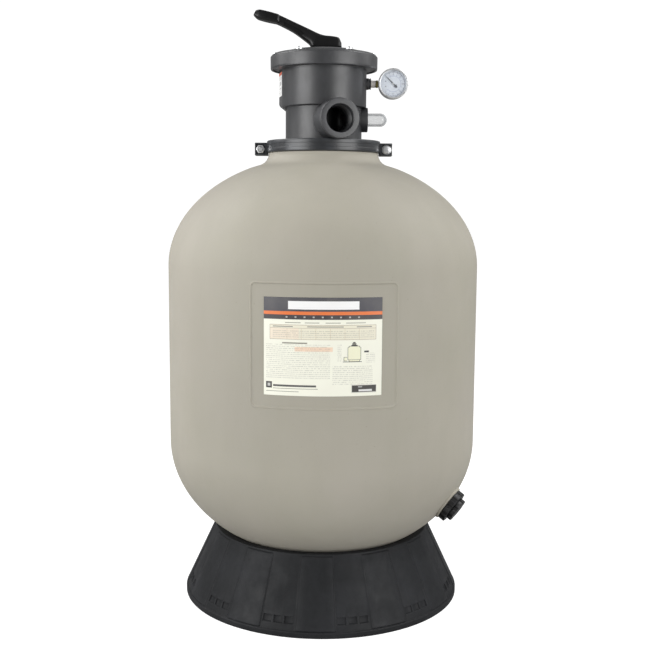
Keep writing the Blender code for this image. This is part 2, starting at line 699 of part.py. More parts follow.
def valve_handle():
    """Lever through stations of (top, bottom, half width), with a cam heel over the washer."""

    def cam(x):
        return (x, PIN_Z - math.sqrt(CAM_R**2 - (x - CAM_CENTRE_X) ** 2))

    stations = [
        ((-112.5, 983), (-117, 975), 9),
        ((-106, 984), (-110, 969), 12),
        ((-92, 981), (-94, 964.7), 13.5),
        ((-74.5, 976.2), (-78, 961.5), 13.5),
        ((-72, 974.5), (-74, 959.5), 11.5),
        ((-50, 964.6), (-52, 948.5), 11.5),
        ((-27.7, 954.5), (-35, 936.8), 13),
        ((-14, 948), (-24.5, 928.6), 15),
        ((-6.6, 944.9), cam(-21), 16),
        ((2, 942.8), cam(CAM_CENTRE_X), 16),
        ((13.5, 941.8), (0, 918.8), 16),
        ((24.2, 939.3), (20, 919.5), 16),
        ((28.5, 931), (29, 922), 14),
    ]
    rings = []
    for top, bottom, half_width in stations:
        top, bottom = (Vector((point[0], 0, point[1])) for point in (top, bottom))
        middle, up = (top + bottom) / 2, (top - bottom) / 2
        ring = squarish(half_width, 1, power=0.5)
        peak = max(height for _, height in ring)
        rings.append([middle + Vector((0, a, 0)) + up * (b / peak) for a, b in ring])
    origin = Matrix.Translation(Vector((0, 0, PIN_Z)) * MM)
    handle = solid("valve_handle", ringed(rings, closed=False), "handle_plastic", origin)
    cut(handle, box((-12.3, -5.6, 905), (12.3, 5.6, 939.5)))
    cut(handle, placed(rod(2.45, -20, 20, TINY_ROUND), facing_front((0, 0, PIN_Z))))
    pin = placed(rod(2.0, -15, 15, TINY_ROUND), facing_front((0, 0, PIN_Z)))
    solid("handle_pin", pin, "stainless_steel", origin)


GAUGE_FRAME = facing_front((GAUGE_X, 0, GAUGE_Z))


def gauge_piece(name, shape, material_name, origin=GAUGE_FRAME):
    """Piece of the gauge, given with +Z towards the glass and the dial's centre at the origin."""
    return solid(name, placed(shape, GAUGE_FRAME), material_name, origin)


def gauge_stem():
    radii = [(0, 69), (5.0, 69), (5.3, 70), (5.3, 86.4), (6.2, 86.4), (6.2, 90), (4.5, 90), (4.5, 98), (0, 98)]
    stem = placed(turned(radii, TINY_ROUND), along((1, 0, 0), (0, 0, GAUGE_Z)))
    solid("gauge_stem", stem, "brass")
    tape = [(5.65, 78.7), (5.95, 78.7), (5.95, 86), (5.65, 86)]
    solid("thread_tape", placed(turned(tape, TINY_ROUND), along((1, 0, 0), (0, 0, GAUGE_Z))), "thread_tape")


def gauge_case():
    outline = [(0, -13), (23.2, -13), (24.2, -12), (24.2, 9), (22.7, 9), (22.7, -11.4), (0, -11.4)]
    case = gauge_piece("gauge_case", turned(outline, SMALL_ROUND), "stainless_steel")
    cut(case, placed(rod(4.9, 85, 96, TINY_ROUND), along((1, 0, 0), (0, 0, GAUGE_Z))))
    bezel = [(21.8, 12.3), (21.8, 13.2), (24.4, 13.2), (25, 12.6), (25, 5), (24.5, 5), (24.5, 12.3)]
    gauge_piece("gauge_bezel", turned(bezel, SMALL_ROUND), "stainless_steel")
    gauge_piece("gauge_lens", rod(24.1, 10.4, 12), "clear_plastic")
    dial = [(1.4, 6.4), (22.3, 6.4), (22.3, 7), (1.4, 7)]
    gauge_piece("gauge_dial", turned(dial, SMALL_ROUND), "dial_white")


def gauge_needle():
    """Pointer with an arrow-shaped tail under a round hub."""
    outline = [(17.5, 0), (0, 0.7), (-4.5, 0.45), (-4.7, 1.7), (-8, 0), (-4.7, -1.7), (-4.5, -0.45), (0, -0.7)]
    turn = Matrix.Rotation(math.radians(NEEDLE_REST_DEG), 4, "Z")
    needle = gauge_piece("gauge_needle", placed(prism(outline, 8, 8.5), turn), "needle_black")
    join(needle, placed(rod(1.9, 7.9, 9.2, TINY_ROUND), GAUGE_FRAME))


def tooth_points(teeth, first, last, width):
    """Outline points of gear teeth first to last, numbered round a full gear and centred on +Y."""
    pitch_r = GEAR_MODULE * teeth / 2
    root, tip = pitch_r - 0.6, pitch_r + 0.36
    pitch_deg = 360 / teeth
    points = []
    for number in range(first, last + 1):
        for radius, side in ((root, -1), (tip, -0.45), (tip, 0.45), (root, 1)):
            turn = math.radians(number * pitch_deg) + side * width / 2 / pitch_r
            points.append((radius * math.sin(turn), radius * math.cos(turn)))
    return points


def gauge_movement():
    """Bourdon tube, and the sector gear and pinion that carry its travel to the needle."""
    pinion_r = GEAR_MODULE * PINION_TEETH / 2
    sector_r = GEAR_MODULE * SECTOR_TEETH / 2
    teeth = prism(tooth_points(PINION_TEETH, 0, PINION_TEETH - 1, 0.8), -1, 1)
    half_tooth = Matrix.Rotation(math.pi / PINION_TEETH, 4, "Z")
    pinion = gauge_piece("gauge_pinion", placed(teeth, half_tooth), "brass")
    join(pinion, placed(rod(0.8, -4, 7.6, TINY_ROUND), GAUGE_FRAME))
    pivot = (0, -pinion_r - sector_r, 0)
    outline = tooth_points(SECTOR_TEETH, -1, 9, 0.72) + [(5, 3), (1.6, -1.6), (-1.6, -1.6), (-1.8, 2)]
    blade = placed(prism(outline, -0.7, 0.7), Matrix.Translation(Vector(pivot) * MM))
    axle = GAUGE_FRAME @ Matrix.Translation(Vector(pivot) * MM)
    gear = gauge_piece("gauge_sector", blade, "brass", axle)
    join(gear, placed(rod(0.8, -4, 3, TINY_ROUND), axle))
    rings = []
    for step in range(21):
        turn = math.radians(162 - 238 * step / 20)
        out = Vector((math.cos(turn), math.sin(turn), 0))
        rings.append([out * (17.5 + a) + Vector((0, 0, b - 7)) for a, b in ((-1, -2), (1, -2), (1, 2), (-1, 2))])
    gauge_piece("bourdon_tube", ringed(rings, closed=False), "brass")


def sight_glass():
    frame = along((1, 0, 0), (0, 0, SIGHT_Z))
    tip, wall = 105.6, 2.0
    outline = [(SIGHT_R, 62.1)]
    for radius, steps in ((SIGHT_R, (0, 22.5, 45, 67.5, 90)), (SIGHT_R - wall, (90, 60, 30, 0))):
        centre = tip - SIGHT_R
        outline += [
            (radius * math.cos(math.radians(a)) if a < 90 else 0, centre + radius * math.sin(math.radians(a)))
            for a in steps
        ]
    outline += [(SIGHT_R - wall, 62.1)]
    rings = [circle(radius, height, SIGHT_SIDES) for radius, height in outline]
    solid("sight_glass", placed(ringed(rings, closed=True), frame), "clear_plastic")
    seal = [(7.6, 60.3), (11, 60.3), (11, 61.8), (7.6, 61.8)]
    solid("sight_glass_seal", placed(turned(seal, SMALL_ROUND), frame), "seal_rubber")


def main():
    clear_scene()
    tank_shell()
    tank_label()
    tank_stand()
    centre_pipe()
    lateral_hub()
    laterals()
    top_diffuser()
    drain()
    clamp()
    valve_body()
    port_tubes()
    valve_label()
    valve_cover()
    cover_screws()
    valve_rotor()
    spider_gasket()
    valve_spring()
    handle_washer()
    valve_handle()
    gauge_stem()
    gauge_case()
    gauge_needle()
    gauge_movement()
    sight_glass()


main()
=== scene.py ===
"""Looks of the sand filter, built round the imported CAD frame.

Lengths are millimetres until a shape becomes a mesh. Azimuths are degrees from the front (-Y) towards +X.
"""

import json
import math

import bmesh
import bpy
import numpy as np
from mathutils import Matrix, Vector

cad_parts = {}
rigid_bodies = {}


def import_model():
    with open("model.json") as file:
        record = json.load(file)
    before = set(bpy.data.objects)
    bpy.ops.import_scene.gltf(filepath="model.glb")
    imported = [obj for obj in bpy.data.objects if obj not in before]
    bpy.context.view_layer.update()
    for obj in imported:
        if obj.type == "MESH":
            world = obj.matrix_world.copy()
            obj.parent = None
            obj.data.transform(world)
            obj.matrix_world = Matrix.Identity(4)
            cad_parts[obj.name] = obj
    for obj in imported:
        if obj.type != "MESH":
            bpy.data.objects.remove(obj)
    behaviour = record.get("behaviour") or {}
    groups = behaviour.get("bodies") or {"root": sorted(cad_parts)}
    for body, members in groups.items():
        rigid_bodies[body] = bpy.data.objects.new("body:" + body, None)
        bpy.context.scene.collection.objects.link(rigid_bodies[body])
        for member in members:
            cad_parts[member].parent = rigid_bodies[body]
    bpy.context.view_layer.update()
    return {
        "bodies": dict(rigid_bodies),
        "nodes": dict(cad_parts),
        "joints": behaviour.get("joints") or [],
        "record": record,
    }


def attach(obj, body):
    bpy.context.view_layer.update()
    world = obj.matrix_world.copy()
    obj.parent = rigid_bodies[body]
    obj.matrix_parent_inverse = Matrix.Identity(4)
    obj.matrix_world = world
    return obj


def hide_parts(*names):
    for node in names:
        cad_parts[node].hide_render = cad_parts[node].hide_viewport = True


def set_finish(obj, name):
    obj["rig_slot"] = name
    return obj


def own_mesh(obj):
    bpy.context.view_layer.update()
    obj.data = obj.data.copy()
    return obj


MM = 0.001
FINE = 128
MEDIUM = 72
SMALL = 40

# Places that the CAD shares.
TANK_R = 260.35
LOWER_DOME_Z, LOWER_RISE = 268.0, 200.0
UPPER_DOME_Z, UPPER_RISE = 562.0, 185.0
PANEL_DEG = (-23.8, 25.0)
PANEL_Z = (367.0, 550.0)
LABEL_DEG = (-19.4, 19.8)
LABEL_Z = (385.0, 531.0)
LABEL_R = 259.65
PORT_Z = 801.0
GAUGE_X, GAUGE_Z = 115.2, 865.0
SIGHT_Z = 806.0
LEDGE_Z = 825.0
PIN_Z = 930.0
BOLT_X, BOLT_Z = 105.5, 756.5
SCREW_AZIMUTHS = (-150, -90, -30, 30, 90, 150)
FRONT_PORT_R, REAR_PORT_R = 32.0, 29.8
STAND_PANELS, STAND_PHASE_DEG = 12, -2.0
STAND_TOP_Z = 116.0

# Camera (lens in millimetres, place in metres, angles in radians) and floor.
LENS_MM = 36 * 1003.6 / 650
SHIFT = 2.56 / 650
CAMERA_AT = (0, -1.7124, 0.6671)
CAMERA_DOWN, CAMERA_ROLL = 0.1207, 0.0061
FLOOR_HALF, FLOOR_Z = 30, -0.0005

WHOLE = Matrix.Identity(4)
HALF_TURN = Matrix.Rotation(math.pi, 4, "Z")


def heading(azimuth):
    angle = math.radians(azimuth)
    return Vector((math.sin(angle), -math.cos(angle), 0))


def along(direction, point=(0, 0, 0)):
    turn = Vector(direction).to_track_quat("Z", "Y").to_matrix().to_4x4()
    return Matrix.Translation(Vector(point) * MM) @ turn


def facing_front(point=(0, 0, 0)):
    return Matrix.Translation(Vector(point) * MM) @ Matrix.Rotation(math.pi / 2, 4, "X")


def spin(degrees):
    return Matrix.Rotation(math.radians(degrees), 4, "Z")


def moved(x=0.0, y=0.0, z=0.0):
    return Matrix.Translation(Vector((x, y, z)) * MM)


# Shapes: each is a bmesh in metres.


def skin(rows, wrap_rows=False, wrap_columns=True):
    """Quads over a grid of points. Rows that don't wrap are capped; a row of one repeated point is a tip."""
    rows = np.asarray(rows, float)
    count, width = rows.shape[:2]
    made = bmesh.new()
    corners = [[made.verts.new(point) for point in row] for row in rows * MM]
    for here in range(count if wrap_rows else count - 1):
        low, high = corners[here], corners[(here + 1) % count]
        for column in range(width if wrap_columns else width - 1):
            step = (column + 1) % width
            made.faces.new((low[column], low[step], high[step], high[column]))
    if not wrap_rows and wrap_columns:
        for number in (0, count - 1):
            if np.ptp(rows[number], axis=0).max() > 1e-6:
                made.faces.new(corners[number])
    bmesh.ops.remove_doubles(made, verts=made.verts, dist=1e-7)
    bmesh.ops.recalc_face_normals(made, faces=made.faces)
    return made


def rounded(outline, steps=4, closed=True):
    """Points of an outline of (x, y) or (x, y, radius) corners, with each radius turned into an arc."""
    found = []
    count = len(outline)
    for number, corner in enumerate(outline):
        here = np.array(corner[:2], float)
        radius = corner[2] if len(corner) > 2 else 0
        if not radius or (not closed and number in (0, count - 1)):
            found.append(tuple(here))
            continue
        sides = [np.array(outline[(number + step) % count][:2], float) - here for step in (-1, 1)]
        lengths = [np.linalg.norm(side) for side in sides]
        sides = [side / length for side, length in zip(sides, lengths)]
        half = math.acos(np.clip(sides[0] @ sides[1], -1, 1)) / 2
        if half > math.radians(88):
            found.append(tuple(here))
            continue
        reach = min(radius / math.tan(half), 0.45 * min(lengths))
        middle = here + (sides[0] + sides[1]) / np.linalg.norm(sides[0] + sides[1]) * reach / math.cos(half)
        start, end = here + sides[0] * reach - middle, here + sides[1] * reach - middle
        low = math.atan2(start[1], start[0])
        turn = (math.atan2(end[1], end[0]) - low + math.pi) % math.tau - math.pi
        size = np.linalg.norm(start)
        for step in range(steps + 1):
            angle = low + turn * step / steps
            found.append((middle[0] + size * math.cos(angle), middle[1] + size * math.sin(angle)))
    return found


def lathe(outline, sides=FINE, start_deg=0.0):
    """Turn (radius, height) points about Z: from the axis back to the axis, or as a closed ring."""
    points = np.array(outline, float)
    turns = math.radians(start_deg) + math.tau * np.arange(sides) / sides
    radii, heights = points[:, 0, None], np.repeat(points[:, 1, None], sides, axis=1)
    rows = np.stack([radii * np.cos(turns), radii * np.sin(turns), heights], axis=-1)
    on_axis = points[0, 0] == 0 and points[-1, 0] == 0
    return skin(rows, wrap_rows=not on_axis)


def rod(radius, low, high, sides=SMALL):
    return lathe([(0, low), (radius, low), (radius, high), (0, high)], sides)


def prism(outline, low, high):
    return skin([[(x, y, height) for x, y in outline] for height in (low, high)])


def box(low, high, edge=0.0):
    (x0, y0, z0), (x1, y1, z1) = low, high
    made = prism([(x0, y0), (x1, y0), (x1, y1), (x0, y1)], z0, z1)
    return softened(made, edge) if edge else made


def softened(shape, width, segments=2, least_deg=30):
    """The shape with its edges sharper than an angle rounded."""
    edges = [edge for edge in shape.edges if edge.calc_face_angle(0) > math.radians(least_deg)]
    bmesh.ops.bevel(
        shape, geom=edges, offset=width * MM, segments=segments, profile=0.5, affect="EDGES",
            clamp_overlap=True
    )
    return shape


def hull(points):
    made = bmesh.new()
    for point in points:
        made.verts.new(Vector(point) * MM)
    bmesh.ops.convex_hull(made, input=made.verts)
    bmesh.ops.dissolve_limit(made, angle_limit=0.01, verts=made.verts, edges=made.edges)
    bmesh.ops.recalc_face_normals(made, faces=made.faces)
    return made


def squarish(half_width, half_height, sides, power):
    turns = math.tau * (np.arange(sides) + 0.5) / sides
    across = np.sign(np.cos(turns)) * np.abs(np.cos(turns)) ** power * half_width
    up = np.sign(np.sin(turns)) * np.abs(np.sin(turns)) ** power * half_height
    return np.stack([across, up], axis=-1)


def placed(shape, matrix):
    bmesh.ops.transform(shape, matrix=matrix, verts=shape.verts)
    return shape


def together(*shapes):
    whole = bmesh.new()
    for shape in shapes:
        mesh = bpy.data.meshes.new("part")
        shape.to_mesh(mesh)
        shape.free()
        whole.from_mesh(mesh)
        bpy.data.meshes.remove(mesh)
    return whole


def scratch(shape):
    mesh = bpy.data.meshes.new("scratch")
    shape.to_mesh(mesh)
    shape.free()
    made = bpy.data.objects.new("scratch", mesh)
    bpy.context.collection.objects.link(made)
    return made


def boolean(base, *steps):
    """base after each (operation, shape), with Blender's exact solver."""
    objects = [scratch(base)] + [scratch(shape) for _, shape in steps]
    for (operation, _), tool in zip(steps, objects[1:]):
        modifier = objects[0].modifiers.new(operation, "BOOLEAN")
        modifier.operation, modifier.solver, modifier.object = operation, "EXACT", tool
    graph = bpy.context.evaluated_depsgraph_get()
    made = bmesh.new()
    made.from_mesh(objects[0].evaluated_get(graph).to_mesh())
    for item in objects:
        mesh = item.data
        bpy.data.objects.remove(item)
        bpy.data.meshes.remove(mesh)
    bmesh.ops.remove_doubles(made, verts=made.verts, dist=2e-6)
    return made


# Materials.


def srgb(red, green, blue):
    def linear(value):
        value /= 255
        return value / 12.92 if value <= 0.04045 else ((value + 0.055) / 1.055) ** 2.4

    return (linear(red), linear(green), linear(blue), 1.0)


def add(tree, kind, inputs=None, **settings):
    made = tree.nodes.new("ShaderNode" + kind)
    for name, value in settings.items():
        setattr(made, name, value)
    for name, value in (inputs or {}).items():
        socket = made.inputs[name]
        if isinstance(value, bpy.types.NodeSocket):
            tree.links.new(value, socket)
        else:
            socket.default_value = value
    return made


def blank(name):
    made = bpy.data.materials.new(name)
    made.use_nodes = True
    tree = made.node_tree
    return made, tree, tree.nodes["Principled BSDF"]


def noise(tree, place, scale, detail=3.0, roughness=0.55):
    return add(
        tree, "TexNoise", {"Vector": place, "Scale": scale, "Detail": detail, "Roughness": roughness}
    ).outputs["Fac"]


def ramp(tree, value, stops):
    made = add(tree, "ValToRGB", {"Fac": value})
    while len(made.color_ramp.elements) < len(stops):
        made.color_ramp.elements.new(0.5)
    for element, (position, colour) in zip(made.color_ramp.elements, stops):
        element.position, element.color = position, colour
    return made.outputs["Color"]


def spread(tree, value, low, high, from_low=0.3, from_high=0.7):
    return add(
        tree,
        "MapRange",
        {"Value": value, "From Min": from_low, "From Max": from_high, "To Min": low, "To Max": high},
    ).outputs["Result"]


def mixed(tree, share, first, second, blend="MIX"):
    return add(tree, "MixRGB", {"Fac": share, "Color1": first, "Color2": second},
        blend_type=blend).outputs["Color"]


def bumps(tree, layers):
    """Normal from (height, strength, distance in mm) layers."""
    normal = None
    for height, strength, distance in layers:
        inputs = {"Height": height, "Strength": strength, "Distance": distance * MM}
        if normal:
            inputs["Normal"] = normal
        normal = add(tree, "Bump", inputs).outputs["Normal"]
    return normal


def moulded(name, dark, middle, light, rough, grain=0.25, blotch=9.0, wear=0.25, coat=0.0, coat_rough=0.12,
    shine=0.5):
    """Moulded plastic: cloudy colour, worn convex edges, fine grain, and scuffs that change the gloss."""
    made, tree, shader = blank(name)
    place = add(tree, "TexCoord").outputs["Object"]
    cloud = noise(tree, place, blotch, 5.0, 0.62)
    colour = ramp(tree, cloud, ((0.3, dark), (0.5, middle), (0.72, light)))
    stretched = add(tree, "Mapping", {"Vector": place, "Scale": (1.0, 1.0, 0.14)}).outputs["Vector"]
    streaks = noise(tree, stretched, 70.0, 4.0, 0.7)
    colour = mixed(tree, spread(tree, streaks, 0.0, 0.22, 0.45, 0.75), colour, light)
    pointiness = add(tree, "NewGeometry").outputs["Pointiness"]
    edge = spread(tree, pointiness, 0.0, wear, 0.5, 0.6)
    edge = add(tree, "Math", {0: edge, 1: spread(tree, noise(tree, place, 120.0), 0.2, 1.0)},
        operation="MULTIPLY")
    colour = mixed(tree, edge.outputs[0], colour, tuple(min(1, 1.7 * c + 0.02) for c in light[:3]) + (1,))
    speck = noise(tree, place, 1500.0, 2.0, 0.5)
    smear = noise(tree, place, 33.0, 6.0, 0.7)
    shader.inputs["Coat Weight"].default_value = coat
    shader.inputs["Coat Roughness"].default_value = coat_rough
    shader.inputs["Specular IOR Level"].default_value = shine
    tree.links.new(colour, shader.inputs["Base Color"])
    tree.links.new(spread(tree, smear, rough * 0.85, rough * 1.3), shader.inputs["Roughness"])
    tree.links.new(
        bumps(tree, [(smear, 0.12, 0.4), (speck, grain, 0.12)]),
        shader.inputs["Normal"],
    )
    return made


def tank_look():
    """Satin blow-moulded polyethylene: warm grey, faintly cloudy, with slow ripples in its surface."""
    made, tree, shader = blank("tank_plastic_fine")
    place = add(tree, "TexCoord").outputs["Object"]
    cloud = noise(tree, place, 3.2, 4.0, 0.55)
    colour = ramp(
        tree,
        cloud,
        ((0.28, srgb(164, 161, 147)), (0.5, srgb(171, 167, 154)), (0.74, srgb(178, 174, 162))),
    )
    tint = noise(tree, add(tree, "Mapping", {"Vector": place, "Location": (3, 1, 7)}).outputs["Vector"],
        5.5, 3.0)
    colour = mixed(tree, spread(tree, tint, 0.0, 0.3), colour, srgb(171, 164, 157))
    flow = add(tree, "Mapping", {"Vector": place, "Scale": (1.0, 1.0, 0.25)}).outputs["Vector"]
    streaks = noise(tree, flow, 26.0, 5.0, 0.65)
    colour = mixed(tree, spread(tree, streaks, 0.0, 0.16, 0.42, 0.8), colour, srgb(152, 148, 134))
    speck = noise(tree, place, 320.0, 2.0, 0.6)
    colour = mixed(tree, spread(tree, speck, 0.0, 0.35, 0.69, 0.78), colour, srgb(134, 129, 116))
    grain = noise(tree, place, 1100.0, 3.0, 0.6)
    ripple = noise(tree, place, 14.0, 2.0, 0.5)
    tree.links.new(colour, shader.inputs["Base Color"])
    tree.links.new(spread(tree, noise(tree, place, 22.0, 5.0, 0.7), 0.48, 0.62), shader.inputs["Roughness"])
    shader.inputs["Subsurface Weight"].default_value = 0.08
    shader.inputs["Subsurface Radius"].default_value = (0.9, 0.8, 0.6)
    shader.inputs["Subsurface Scale"].default_value = 0.006
    shader.inputs["Specular IOR Level"].default_value = 0.22
    tree.links.new(bumps(tree, [(ripple, 0.25, 1.6), (grain, 0.22, 0.1)]), shader.inputs["Normal"])
    return made


def metal(name, colour, rough, scale=400.0, along_axis=(1.0, 1.0, 0.05)):
    """Turned or drawn metal, with fine lines and a few stains."""
    made, tree, shader = blank(name)
    place = add(tree, "TexCoord").outputs["Object"]
    drawn = add(tree, "Mapping", {"Vector": place, "Scale": along_axis}).outputs["Vector"]
    lines = noise(tree, drawn, scale * 4, 4.0, 0.6)
    stain = noise(tree, place, 90.0, 5.0, 0.7)
    dark = tuple(0.62 * value for value in colour[:3]) + (1,)
    tree.links.new(ramp(tree, stain, ((0.3, dark), (0.5, colour), (0.8, colour))),
        shader.inputs["Base Color"])
    tree.links.new(spread(tree, lines, rough * 0.7, rough * 1.5), shader.inputs["Roughness"])
    tree.links.new(bumps(tree, [(lines, 0.12, 0.05)]), shader.inputs["Normal"])
    shader.inputs["Metallic"].default_value = 1.0
    return made


def rubber_look():
    made, tree, shader = blank("rubber_fine")
    place = add(tree, "TexCoord").outputs["Object"]
    colour = ramp(tree, noise(tree, place, 60.0, 4.0), ((0.3, srgb(20, 20, 20)), (0.7, srgb(38, 37, 36))))
    tree.links.new(colour, shader.inputs["Base Color"])
    tree.links.new(spread(tree, noise(tree, place, 200.0), 0.6, 0.85), shader.inputs["Roughness"])
    tree.links.new(bumps(tree, [(noise(tree, place, 1800.0), 0.2, 0.1)]), shader.inputs["Normal"])
    return made


def tape_look():
    """Thread tape: white film wound in shallow overlapping turns along X."""
    made, tree, shader = blank("tape_fine")
    place = add(tree, "TexCoord").outputs["Object"]
    turns = add(
        tree, "TexWave", {"Vector": place, "Scale": 180.0, "Distortion": 3.0, "Detail": 2.0},
            bands_direction="X"
    ).outputs["Fac"]
    colour = ramp(tree, turns, ((0.1, srgb(212, 208, 202)), (0.6, srgb(240, 238, 236)),
        (1.0, srgb(226, 214, 206))))
    tree.links.new(colour, shader.inputs["Base Color"])
    shader.inputs["Roughness"].default_value = 0.45
    tree.links.new(bumps(tree, [(turns, 0.5, 0.2), (noise(tree, place, 700.0), 0.3, 0.1)]),
        shader.inputs["Normal"])
    return made


def dome_look():
    """Thin clear dome: nearly open where it faces the eye, grey and glossy at its edges."""
    made, tree, shader = blank("dome_fine")
    haze = noise(tree, add(tree, "TexCoord").outputs["Object"], 90.0, 4.0, 0.6)
    tree.links.new(ramp(tree, haze, ((0.3, srgb(150, 156, 160)), (0.7, srgb(176, 181, 184)))),
        shader.inputs["Base Color"])
    tree.links.new(spread(tree, haze, 0.03, 0.1), shader.inputs["Roughness"])
    facing = add(tree, "LayerWeight", {"Blend": 0.5}).outputs["Facing"]
    tree.links.new(spread(tree, facing, 0.14, 0.8, 0.2, 1.0), shader.inputs["Alpha"])
    return made


def window_look():
    """Thin clear window that lets light reach what it covers, with faint smears."""
    made, tree, shader = blank("window_fine")
    smears = noise(tree, add(tree, "TexCoord").outputs["Object"], 140.0, 4.0, 0.6)
    tree.links.new(ramp(tree, smears, ((0.3, (0.75, 0.8, 0.9, 1)), (0.7, (0.85, 0.9, 1, 1)))),
        shader.inputs["Base Color"])
    tree.links.new(spread(tree, smears, 0.04, 0.12), shader.inputs["Roughness"])
    shader.inputs["Alpha"].default_value = 0.1
    return made


def printed_look(name, rough, text_pitch_mm):
    """Printed film: flat ink from the Print attribute, rows of dashes where Ink is 1, a slight sheen."""
    made, tree, shader = blank(name)
    place = add(tree, "TexCoord").outputs["Object"]
    paper = add(tree, "Attribute", attribute_name="Print").outputs["Color"]
    ink = add(tree, "Attribute", attribute_name="Ink").outputs["Fac"]
    sheet = add(tree, "UVMap", uv_map="sheet").outputs["UV"]
    across, up, _ = add(tree, "SeparateXYZ", {"Vector": sheet}).outputs
    line = add(tree, "Math", {0: up, 1: text_pitch_mm}, operation="DIVIDE").outputs[0]
    number = add(tree, "Math", {0: line}, operation="FLOOR").outputs[0]
    inside = add(tree, "Math", {0: line}, operation="FRACT").outputs[0]
    row = add(tree, "Math", {0: inside, 1: 0.48}, operation="LESS_THAN").outputs[0]
    words = noise(tree, add(tree, "CombineXYZ", {"X": across, "Y": number}).outputs[0], 0.9, 2.0, 0.8)
    word = add(tree, "Math", {0: words, 1: 0.47}, operation="GREATER_THAN").outputs[0]
    both = add(tree, "Math", {0: row, 1: word}, operation="MULTIPLY").outputs[0]
    share = add(tree, "Math", {0: both, 1: ink}, operation="MULTIPLY").outputs[0]
    share = add(tree, "Math", {0: share, 1: 0.3}, operation="MULTIPLY").outputs[0]
    colour = mixed(tree, share, paper, srgb(92, 88, 84))
    fade = noise(tree, place, 30.0, 4.0)
    colour = mixed(tree, spread(tree, fade, 0.0, 0.1), colour, srgb(205, 198, 180))
    tree.links.new(colour, shader.inputs["Base Color"])
    tree.links.new(spread(tree, noise(tree, place, 60.0, 4.0), rough * 0.8, rough * 1.3),
        shader.inputs["Roughness"])
    tree.links.new(bumps(tree, [(noise(tree, place, 50.0, 2.0), 0.15, 0.5)]), shader.inputs["Normal"])
    return made


def all_looks():
    return {
        "tank_plastic": tank_look(),
        "stand_plastic": moulded(
            "stand_fine", srgb(24, 25, 27), srgb(31, 32, 34), srgb(42, 43, 46), 0.52, grain=0.35, wear=0.35,
                shine=0.22
        ),
        "valve_plastic": moulded(
            "valve_fine", srgb(28, 29, 31), srgb(36, 37, 40), srgb(49, 50, 54), 0.46, blotch=16.0, wear=0.3,
                coat=0.8, coat_rough=0.36
        ),
        "clamp_plastic": moulded(
            "clamp_fine", srgb(22, 23, 25), srgb(32, 34, 37), srgb(50, 53, 58), 0.34, blotch=28.0,
                wear=0.45, coat=0.4, coat_rough=0.3
        ),
        "handle_plastic": moulded(
            "handle_fine", srgb(6, 6, 7), srgb(9, 9, 10), srgb(15, 15, 17), 0.3, grain=0.08, shine=0.35
        ),
        "drain_plastic": moulded("drain_fine", srgb(12, 12, 13), srgb(17, 17, 18), srgb(27, 27, 28), 0.36,
            blotch=40.0),
        "inner_plastic": moulded(
            "inner_fine", srgb(190, 190, 184), srgb(212, 211, 206), srgb(226, 226, 222), 0.45, wear=0.0
        ),
        "clear_plastic": dome_look(),
        "seal_rubber": rubber_look(),
        "stainless_steel": metal("steel_fine", (0.86, 0.87, 0.88, 1), 0.34),
        "brass": metal("brass_fine", (0.3, 0.26, 0.1, 1), 0.34),
        "thread_tape": tape_look(),
        "dial_white": printed_look("dial_fine", 0.4, 1.2),
        "needle_black": moulded("needle_fine", srgb(14, 14, 15), srgb(20, 20, 22), srgb(32, 32, 34), 0.4,
            wear=0.0),
        "label_film": printed_look("label_fine", 0.42, 2.9),
    }


# Pieces.

LOOKS = {}
BODIES = {}
SLOTS = {}


def finished(name, mesh, nodes, body=None, slot=None):
    slot = slot or SLOTS[nodes[0]]
    mesh.materials.append(LOOKS[slot])
    made = bpy.data.objects.new(name, mesh)
    bpy.context.collection.objects.link(made)
    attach(made, body or BODIES[nodes[0]])
    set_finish(made, slot)
    if nodes:
        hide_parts(*nodes)
    return made


def piece(name, shape, *nodes, sharp_deg=32, body=None, slot=None):
    """The finished object that stands for those CAD nodes."""
    mesh = bpy.data.meshes.new(name)
    shape.to_mesh(mesh)
    shape.free()
    mesh.shade_smooth()
    mesh.set_sharp_from_angle(angle=math.radians(sharp_deg))
    return finished(name, mesh, nodes, body, slot)


def ellipse(rise, middle, low_deg, high_deg, steps, radius=TANK_R):
    angles = np.radians(np.linspace(low_deg, high_deg, steps + 1))
    return [(radius * math.cos(a), middle + rise * math.sin(a)) for a in angles]


def smooth_step(value):
    value = np.clip(value, 0, 1)
    return value * value * (3 - 2 * value)


def around(centre, half, step):
    return list(np.arange(centre - half, centre + half + step / 2, step))


def drain_frame():
    azimuth, height = 64.3, 177.0
    level = (height - LOWER_DOME_Z) / LOWER_RISE
    radius = TANK_R * math.sqrt(1 - level**2)
    slope = Vector((radius / TANK_R**2, level / LOWER_RISE)).normalized()
    axis = heading(azimuth) * slope.x + Vector((0, 0, slope.y))
    return along(axis, heading(azimuth) * radius + Vector((0, 0, height)))


